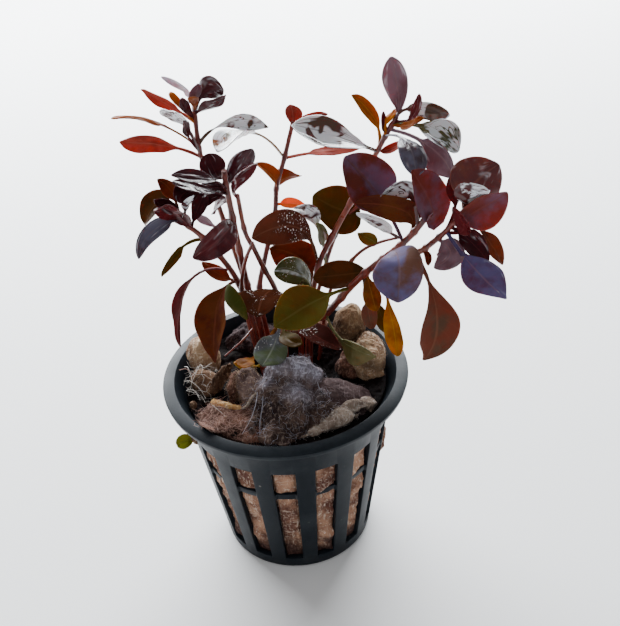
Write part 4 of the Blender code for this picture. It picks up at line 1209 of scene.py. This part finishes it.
    def make_fold(self, name, material, half_width, half_height, folds, line):
        """A roll of wool laid along a line, tapering to its ends."""
        deselect_all()
        bpy.ops.mesh.primitive_cylinder_add(vertices=ROLL_SIDES, radius=1, depth=1, end_fill_type="NGON")
        roll = added(name)
        roll.rotation_euler = (0, math.radians(90), 0)
        apply_place(roll)
        pick(roll, "EDGE", lambda edge: abs(roll.data.vertices[edge.vertices[0]].co.x
                                            - roll.data.vertices[edge.vertices[1]].co.x) > 0.5)
        bpy.ops.mesh.subdivide(number_cuts=ROLL_CUTS)
        bpy.ops.mesh.select_all(action="SELECT")
        bpy.ops.transform.resize(value=(1, half_width * MM, half_height * MM), center_override=(0, 0, 0))
        bpy.ops.object.mode_set(mode="OBJECT")
        for place, size in ROLL_SIZES:
            resize_where(roll, lambda vertex: abs(vertex.co.x - place) < ROLL_RING, (1, size, size),
                         (place, 0, 0), **soft_within(ROLL_REACH))
        guide = bent_guide(f"{name}_guide", line)
        follow = roll.modifiers.new("along", "CURVE")
        follow.object = guide
        follow.deform_axis = "POS_X"
        self.fold(roll, folds)
        apply_modifiers(roll)
        bpy.data.objects.remove(guide)
        shade(roll)
        if name not in CLUMP_PARTS:
            finish_piece(roll, material)


def bent_guide(name, points):
    """A smooth curve through points in millimetres, along which a Curve modifier lays a mesh."""
    deselect_all()
    bpy.ops.curve.primitive_bezier_curve_add()
    guide = added(name)
    spline = guide.data.splines[0]
    spline.bezier_points.add(len(points) - len(spline.bezier_points))
    for knot, point in zip(spline.bezier_points, points):
        knot.co = Vector(point) * MM
        knot.handle_left_type = "AUTO"
        knot.handle_right_type = "AUTO"
    ready_guide(guide)
    return guide


def ready_guide(guide):
    guide.data.dimensions = "3D"
    guide.data.twist_mode = "MINIMUM"
    guide.data.resolution_u = 32
    guide.data.use_stretch = True
    guide.data.use_deform_bounds = True


def smooth_route(points, steps):
    """Points along a smooth curve through the given ones."""
    knots = [Vector(point) for point in points]
    knots = [2 * knots[0] - knots[1]] + knots + [2 * knots[-1] - knots[-2]]
    route = []
    for before, start, end, after in zip(knots, knots[1:], knots[2:], knots[3:]):
        for step in range(steps):
            t = step / steps
            route.append(0.5 * (2 * start + (end - before) * t
                                + (2 * before - 5 * start + 4 * end - after) * t ** 2
                                + (3 * start - before - 3 * end + after) * t ** 3))
    route.append(knots[-2])
    return route


def place_on(route, share):
    """The place at a share of the way along a route."""
    lengths = [(end - start).length for start, end in zip(route, route[1:])]
    left = share * sum(lengths)
    for start, end, length in zip(route, route[1:], lengths):
        if left <= length:
            return start.lerp(end, left / length)
        left -= length
    return route[-1]


class PLANT_OT_stems(bpy.types.Operator):
    """Draw each stem as a tapering tube that swells where its leaves grow"""

    bl_idname = "plant.stems"
    bl_label = "Stems"

    def execute(self, context):
        material = stem_material()
        for name, (diameter, points) in STEMS.items():
            route = smooth_route(points, STEM_STEPS)
            nodes = STEM_NODES[name]

            def thickness(share):
                swelling = sum(math.exp(-((share - node) / NODE_REACH) ** 2) for node in nodes)
                return (1 - (1 - STEM_TAPER) * share) * (1 + NODE_SWELLING * min(swelling, 1))

            radius = diameter / 2 * MM
            stem = tube_along(f"stem_{name}", route, radius, bevel_resolution=3, thickness=thickness)
            shade(stem, degrees=60)
            finish_piece(stem, material)
            if f"{name}_stem" in frame["nodes"]:
                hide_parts(f"{name}_stem")
        return {"FINISHED"}


def leaf_template(outline):
    """One straight leaf: a blade from X 0 to 1 with its rib and side veins, and a stalk from X -1 to 0."""
    bow, fullness = OUTLINES[outline]
    last_row = BLADE_ROWS - 1
    step = 1 / last_row
    deselect_all()
    bpy.ops.mesh.primitive_grid_add(x_subdivisions=last_row, y_subdivisions=BLADE_STRIPS, size=1,
                                    location=(0.5, 0, 0))
    leaf = added(f"leaf_template_{outline}")
    apply_place(leaf)

    def line_of(vertex):
        """How many lengthwise lines a vertex is from the rib."""
        return abs(vertex.co.y) * BLADE_STRIPS

    def on_side_vein(vertex):
        row = round(vertex.co.x / step)
        line = round(line_of(vertex))
        return 0 < line < BLADE_STRIPS / 2 and (row - line) % VEIN_PITCH == 0 and 1 < row < last_row

    for line, rise in enumerate(BLADE_RISE, 1):
        move_where(leaf, lambda vertex: abs(line_of(vertex) - line) < 0.3, (0, 0, rise))
    move_where(leaf, lambda vertex: line_of(vertex) < 0.3, (0, 0, -RIB_DEPTH))
    move_where(leaf, on_side_vein, (0, 0, -VEIN_DEPTH))
    widths = [max(TIP_WIDTH, math.sin(math.pi * (row / last_row) ** bow) ** fullness)
              for row in range(1, last_row)]
    for row, width in enumerate([FOOT_WIDTH, *widths, TIP_WIDTH]):
        resize_where(leaf, lambda vertex: abs(vertex.co.x - row * step) < step / 4, (1, width, width))
    pick(leaf, "EDGE", lambda edge: all(leaf.data.vertices[end].co.x < step / 4 for end in edge.vertices))
    for piece in range(STALK_PIECES):
        bpy.ops.mesh.extrude_region_move(TRANSFORM_OT_translate={"value": (-1 / STALK_PIECES, 0, 0)})
    bpy.ops.object.mode_set(mode="OBJECT")
    resize_where(leaf, lambda vertex: vertex.co.x < -0.1, (1, 1 / FOOT_WIDTH, 0))
    # The stalk and the rib are thick, and the blade's edge can wave beyond its foot
    weigh(leaf, "thick", 1, lambda vertex: vertex.co.x < 0.01 or abs(vertex.co.y) < 0.02)
    weigh(leaf, "edge", 1, lambda vertex: vertex.co.x > 0.15 and abs(vertex.co.y) > 0.1)
    return leaf


def leaf_guide(name, start, bend, tip, roll):
    """The bowed line of a leaf's rib, as a curve whose tilt is the leaf's turn about it."""
    deselect_all()
    bpy.ops.curve.primitive_bezier_curve_add()
    guide = added(name)
    first, last = guide.data.splines[0].bezier_points
    for knot in (first, last):
        knot.handle_left_type = "FREE"
        knot.handle_right_type = "FREE"
        knot.tilt = -math.radians(roll)
    pull = 2 / 3
    first.co = start * MM
    first.handle_right = (start + (bend - start) * pull) * MM
    first.handle_left = (start - (bend - start) * pull) * MM
    last.co = tip * MM
    last.handle_right = (tip + (tip - bend) * pull) * MM
    last.handle_left = (tip - (tip - bend) * pull) * MM
    ready_guide(guide)
    return guide


def rib_length(start, bend, tip):
    """The length of a rib, measured over 24 short steps."""
    steps = 24
    points = [(1 - t) ** 2 * start + 2 * t * (1 - t) * bend + t ** 2 * tip
              for t in (step / steps for step in range(steps + 1))]
    return sum((later - point).length for point, later in zip(points, points[1:]))


class PLANT_OT_leaves(bpy.types.Operator):
    """Model one leaf for each outline, then copy, size, wave and bow it for every leaf"""

    bl_idname = "plant.leaves"
    bl_label = "Leaves"

    def execute(self, context):
        self.templates = {outline: leaf_template(outline) for outline in OUTLINES}
        self.materials = {}
        for count, (name, leaf) in enumerate(LEAVES.items(), 1):
            self.make_leaf(context.scene.plant_sizes, count, name, leaf)
        for template in self.templates.values():
            bpy.data.objects.remove(template)
        return {"FINISHED"}

    def make_leaf(self, sizes, count, name, leaf):
        stem, share, bend, tip, width, roll, outline, stalk, finish, cup = leaf
        if finish not in self.materials:
            self.materials[finish] = leaf_material(finish)
        start = place_on(smooth_route(STEMS[stem][1], FOOT_STEPS), share)
        bend = Vector(bend)
        tip = Vector(tip)
        length = rib_length(start, bend, tip)
        piece = copy_of(self.templates[outline], f"leaf_{name}")
        resize_where(piece, lambda vertex: vertex.co.x < -0.01,
                     (length * stalk * MM, STALK_WIDTH * MM, STALK_WIDTH * MM))
        resize_where(piece, lambda vertex: vertex.co.x >= -MERGE_DISTANCE,
                     (length * (1 - stalk) * MM, width * MM, width * cup * MM))
        piece.location.x = WAVE_STEP * count
        add_displace(piece, cloud_texture("leaf_wave", WAVE_SIZE, 0), sizes.leaf_wave, "edge", "Z")
        apply_modifiers(piece)
        piece.location.x = 0
        solidify = piece.modifiers.new("thickness", "SOLIDIFY")
        solidify.thickness = sizes.leaf_thickness
        solidify.offset = 0
        solidify.vertex_group = "thick"
        solidify.thickness_vertex_group = 0.5
        subdivision = piece.modifiers.new("subdivision", "SUBSURF")
        subdivision.levels = 1
        subdivision.render_levels = 1
        guide = leaf_guide(f"guide_{name}", start, bend, tip, roll)
        follow = piece.modifiers.new("along", "CURVE")
        follow.object = guide
        follow.deform_axis = "POS_X"
        apply_modifiers(piece)
        bpy.data.objects.remove(guide)
        shade(piece)
        finish_piece(piece, self.materials[finish])
        if f"{name}_leaf" in frame["nodes"]:
            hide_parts(f"{name}_leaf")
        if name in BUD_LEAVES:
            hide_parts(BUD_LEAVES[name])


# Loose fibres: the piece that they grow on, colour, fibres a square millimetre, length as a share of
# the modelled strand, and the seed
FIBRE_PATCHES = {
    "fibres_clump": ("wool_clump", "pale", 0.45, 0.7, 1),
    "fibres_slab": ("tuft_front_slab", "grey", 0.2, 0.6, 3),
    "fibres_left_pad": ("tuft_left_pad", "pink", 1.5, 0.9, 4),
    "fibres_middle_left": ("tuft_middle_left", "tan", 1.6, 0.6, 5),
    "fibres_left": ("tuft_left", "white", 0.35, 1.4, 6),
    "fibres_left_second": ("fold_left_second", "tan", 1.0, 0.6, 7),
    "fibres_rolled": ("fold_rolled", "white", 1.4, 0.4, 8),
    "fibres_right": ("tuft_right", "tan", 0.4, 0.5, 9),
    "fibres_clump_grey": ("wool_clump", "grey", 0.5, 0.5, 10),
}
FIBRE_COLOURS = {
    "pale": (0.58, 0.57, 0.66),
    "grey": (0.16, 0.13, 0.13),
    "pink": (0.42, 0.24, 0.19),
    "tan": (0.42, 0.27, 0.17),
    "white": (0.72, 0.66, 0.6),
}
# The line of a strand, in millimetres: it wanders, and droops at its ends
STRAND_ROUTE = ((-2.2, 0, 0), (-1.3, 0.35, 0.35), (-0.3, -0.1, 0.5), (0.6, 0.15, 0.45), (1.5, -0.25, 0.6),
                (2.3, 0.3, 0.3))
STRAND_RADIUS = 0.000035
# How far a strand tilts from the surface, and the least and greatest share of its size
STRAND_TILT = 0.35
STRAND_SIZES = (0.45, 1.35)
FIBRE_TAPER = 0.6
LONG_FIBRE_RADIUS = 0.00007
LONG_FIBRE_STEPS = 6
# Long single fibres: colour, and the points that each passes, in millimetres
LONG_FIBRES = (
    ("pink", ((-23.3, 0.2, 47.6), (-21.7, -0.5, 48.3), (-20.5, -1, 47.2), (-19.5, -2, 46), (-18.4, -4, 45))),
    ("white", ((-22.4, 2.5, 46.6), (-21.4, 0.5, 47.8), (-20.6, -2, 46.6), (-20.8, -4.4, 45.6))),
    ("white", ((-18.4, 0, 49), (-19.6, -2, 47.9), (-20.6, -3.4, 46.3), (-21.4, -5.4, 44.6))),
    ("white", ((-22.4, -1.4, 45.6), (-20.8, -2.6, 46.4), (-18.8, -4.8, 46), (-17.4, -7.4, 45.2))),
    ("white", ((-21.7, -3.6, 45), (-20, -5, 45.7), (-18.6, -7.8, 45.2))),
    ("pale", ((-5.8, -10, 48.6), (-6.4, -13, 47.2), (-7.6, -16, 45.8), (-9.4, -19.2, 44.8))),
    ("pale", ((-4.6, -10.4, 49), (-5, -13.4, 47), (-5.6, -16.6, 45.6), (-5.8, -19.6, 44.4))),
    ("pale", ((6.8, -8.6, 49), (7.4, -11, 47.8), (8, -13.4, 46.7), (9.6, -15.4, 46.3), (11, -16.4, 46.6))),
    ("pink", ((-17.6, -11.4, 44), (-14, -14.4, 45.2), (-10.8, -17, 45.2), (-8, -19.6, 44.6))),
    ("white", ((-15.8, -10.4, 45.8), (-13, -14, 45.3), (-12.4, -17.4, 44.6))),
)


class PLANT_OT_fibres(bpy.types.Operator):
    """Scatter thin loose fibres over the wool"""

    bl_idname = "plant.fibres"
    bl_label = "Loose Fibres"

    def execute(self, context):
        share = context.scene.plant_sizes.fibre_share
        strand = tube_along("strand", smooth_route(STRAND_ROUTE, 1), STRAND_RADIUS, bevel_resolution=0)
        limit = make_limit(context.scene.plant_sizes)
        materials = {name: fibre_material(f"fibre_{name}", colour) for name, colour in FIBRE_COLOURS.items()}
        for name, (host, colour, density, length, seed) in FIBRE_PATCHES.items():
            patch = copy_of(bpy.data.objects[host], name)
            scatter = patch.modifiers.new("scatter", "NODES")
            scatter.node_group = scatter_group(name, strand, density * share / MM ** 2, length, seed)
            add_limit(patch, limit)
            apply_modifiers(patch)
            shade(patch)
            finish_piece(patch, materials[colour])
        for index, (colour, points) in enumerate(LONG_FIBRES, 1):
            route = smooth_route(points, LONG_FIBRE_STEPS)
            fibre = tube_along(f"long_fibre_{index}", route, LONG_FIBRE_RADIUS, bevel_resolution=1)
            shade(fibre)
            finish_piece(fibre, materials[colour])
        bpy.data.objects.remove(strand)
        bpy.data.objects.remove(limit)
        return {"FINISHED"}


def tube_along(name, route, radius, bevel_resolution, thickness=lambda share: 1 - FIBRE_TAPER * share):
    """A closed tube along a route in millimetres, as a mesh, whose thickness changes along it."""
    deselect_all()
    bpy.ops.curve.primitive_nurbs_path_add()
    path = added(name)
    curve = path.data
    curve.splines.clear()
    spline = curve.splines.new("POLY")
    spline.points.add(len(route) - 1)
    for index, point in enumerate(route):
        spline.points[index].co = (*(point * MM), 1)
        spline.points[index].radius = thickness(index / (len(route) - 1))
    curve.bevel_depth = radius
    curve.bevel_resolution = bevel_resolution
    curve.use_fill_caps = True
    bpy.ops.object.convert(target="MESH")
    return added(name)


def scatter_group(name, strand, density, length, seed):
    """Geometry nodes that lay copies of a strand nearly flat on a surface, each its own way and size."""
    group = bpy.data.node_groups.new(name, "GeometryNodeTree")
    group.interface.new_socket("Geometry", in_out="INPUT", socket_type="NodeSocketGeometry")
    group.interface.new_socket("Geometry", in_out="OUTPUT", socket_type="NodeSocketGeometry")
    nodes = group.nodes
    source = nodes.new("NodeGroupInput")
    result = nodes.new("NodeGroupOutput")
    points = nodes.new("GeometryNodeDistributePointsOnFaces")
    points.inputs["Density"].default_value = density
    points.inputs["Seed"].default_value = seed
    fibre = nodes.new("GeometryNodeObjectInfo")
    fibre.inputs["Object"].default_value = strand
    fibre.inputs["As Instance"].default_value = True
    spin = nodes.new("FunctionNodeRandomValue")
    spin.data_type = "FLOAT_VECTOR"
    spin.inputs["Min"].default_value = (-STRAND_TILT, -STRAND_TILT, 0)
    spin.inputs["Max"].default_value = (STRAND_TILT, STRAND_TILT, math.tau)
    spin.inputs["Seed"].default_value = seed + 20
    turn = nodes.new("FunctionNodeEulerToRotation")
    rotate = nodes.new("FunctionNodeRotateRotation")
    rotate.rotation_space = "LOCAL"
    size = nodes.new("FunctionNodeRandomValue")
    size.data_type = "FLOAT"
    for socket, share in zip(size.inputs[2:4], STRAND_SIZES):
        socket.default_value = share * length
    size.inputs["Seed"].default_value = seed + 40
    copies = nodes.new("GeometryNodeInstanceOnPoints")
    real = nodes.new("GeometryNodeRealizeInstances")
    links = (
        (source.outputs[0], points.inputs["Mesh"]),
        (spin.outputs["Value"], turn.inputs[0]),
        (points.outputs["Rotation"], rotate.inputs[0]),
        (turn.outputs[0], rotate.inputs[1]),
        (points.outputs["Points"], copies.inputs["Points"]),
        (fibre.outputs["Geometry"], copies.inputs["Instance"]),
        (rotate.outputs[0], copies.inputs["Rotation"]),
        (size.outputs[1], copies.inputs["Scale"]),
        (copies.outputs[0], real.inputs[0]),
        (real.outputs[0], result.inputs[0]),
    )
    for output, target in links:
        group.links.new(output, target)
    return group


# Lights: where each stands, what it points at, its width and height, and its colour
WINDOW_LIGHT = ((-0.05, 0.5, 0.27), (0, 0, 0.06), (0.9, 0.4), (0.93, 0.97, 1.0))
FRONT_LIGHT = ((-0.35, -0.6, 0.6), (0, 0, 0.05), (0.6, 0.6), (1.0, 0.98, 0.95))
SKY_COLOUR = (0.95, 0.97, 1.0, 1.0)


def aim_at(piece, target):
    piece.rotation_euler = (Vector(target) - piece.location).to_track_quat("-Z", "Y").to_euler()


class PLANT_OT_stage(bpy.types.Operator):
    """Set the floor, the lights and the camera"""

    bl_idname = "plant.stage"
    bl_label = "Stage"

    def execute(self, context):
        stage = context.scene.plant_stage
        deselect_all()
        bpy.ops.mesh.primitive_plane_add(size=stage.floor_size)
        floor = added("floor")
        book = NodeBook("floor_paint")
        book.shader.inputs["Base Color"].default_value = (*stage.floor_colour, 1.0)
        floor.data.materials.append(book.finish(roughness=0.7))
        self.make_sky(stage)
        self.make_light("window_light", stage.window_power, *WINDOW_LIGHT)
        self.make_light("front_light", stage.front_power, *FRONT_LIGHT)
        self.make_camera()
        return {"FINISHED"}

    def make_sky(self, stage):
        world = bpy.data.worlds.new("pale_sky")
        world.use_nodes = True
        sky = world.node_tree.nodes["Background"]
        sky.inputs["Color"].default_value = SKY_COLOUR
        sky.inputs["Strength"].default_value = stage.sky_strength
        bpy.context.scene.world = world

    def make_light(self, name, power, place, target, size, colour):
        deselect_all()
        bpy.ops.object.light_add(type="AREA", location=place)
        lamp = added(name)
        lamp.data.shape = "RECTANGLE"
        lamp.data.size, lamp.data.size_y = size
        lamp.data.energy = power
        lamp.data.color = colour
        lamp.visible_camera = False
        aim_at(lamp, target)

    def make_camera(self):
        """The photograph's view: pitch and roll, distance and focal length."""
        back = Vector((0, -math.cos(CAMERA_ELEVATION), math.sin(CAMERA_ELEVATION)))
        deselect_all()
        bpy.ops.object.camera_add(location=Vector(CAMERA_TARGET) + back * CAMERA_DISTANCE)
        camera = added("photo_camera")
        camera.rotation_mode = "QUATERNION"
        level = (-back).to_track_quat("-Z", "Y")
        camera.rotation_quaternion = level @ Quaternion((0, 0, 1), CAMERA_ROLL)
        camera.data.sensor_width = SENSOR
        camera.data.lens = FOCAL_PIXELS * SENSOR / max(PHOTO_WIDTH, PHOTO_HEIGHT)
        camera.data.clip_start, camera.data.clip_end = CAMERA_CLIP
        bpy.context.scene.camera = camera


class PLANT_PT_panel(bpy.types.Panel):
    """Buttons for every piece, in the order in which they are made"""

    bl_idname = "PLANT_PT_panel"
    bl_label = "Potted Plant"
    bl_space_type = "VIEW_3D"
    bl_region_type = "UI"
    bl_category = "Plant"

    def draw(self, context):
        for group in (context.scene.plant_sizes, context.scene.plant_stage):
            for name in group.__annotations__:
                self.layout.prop(group, name)
        for operator in OPERATORS:
            self.layout.operator(operator.bl_idname)


OPERATORS = (PLANT_OT_pot, PLANT_OT_wool, PLANT_OT_stems, PLANT_OT_leaves, PLANT_OT_fibres, PLANT_OT_stage)
CLASSES = (PlantSizes, StageSettings, *OPERATORS, PLANT_PT_panel)


def register():
    for kind in CLASSES:
        bpy.utils.register_class(kind)
    bpy.types.Scene.plant_sizes = PointerProperty(type=PlantSizes)
    bpy.types.Scene.plant_stage = PointerProperty(type=StageSettings)


def unregister():
    del bpy.types.Scene.plant_stage
    del bpy.types.Scene.plant_sizes
    for kind in reversed(CLASSES):
        bpy.utils.unregister_class(kind)


def main():
    register()
    bpy.ops.plant.pot()
    bpy.ops.plant.wool()
    bpy.ops.plant.stems()
    bpy.ops.plant.leaves()
    bpy.ops.plant.fibres()
    bpy.ops.plant.stage()
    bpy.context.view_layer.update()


if __name__ == "__main__":
    main()
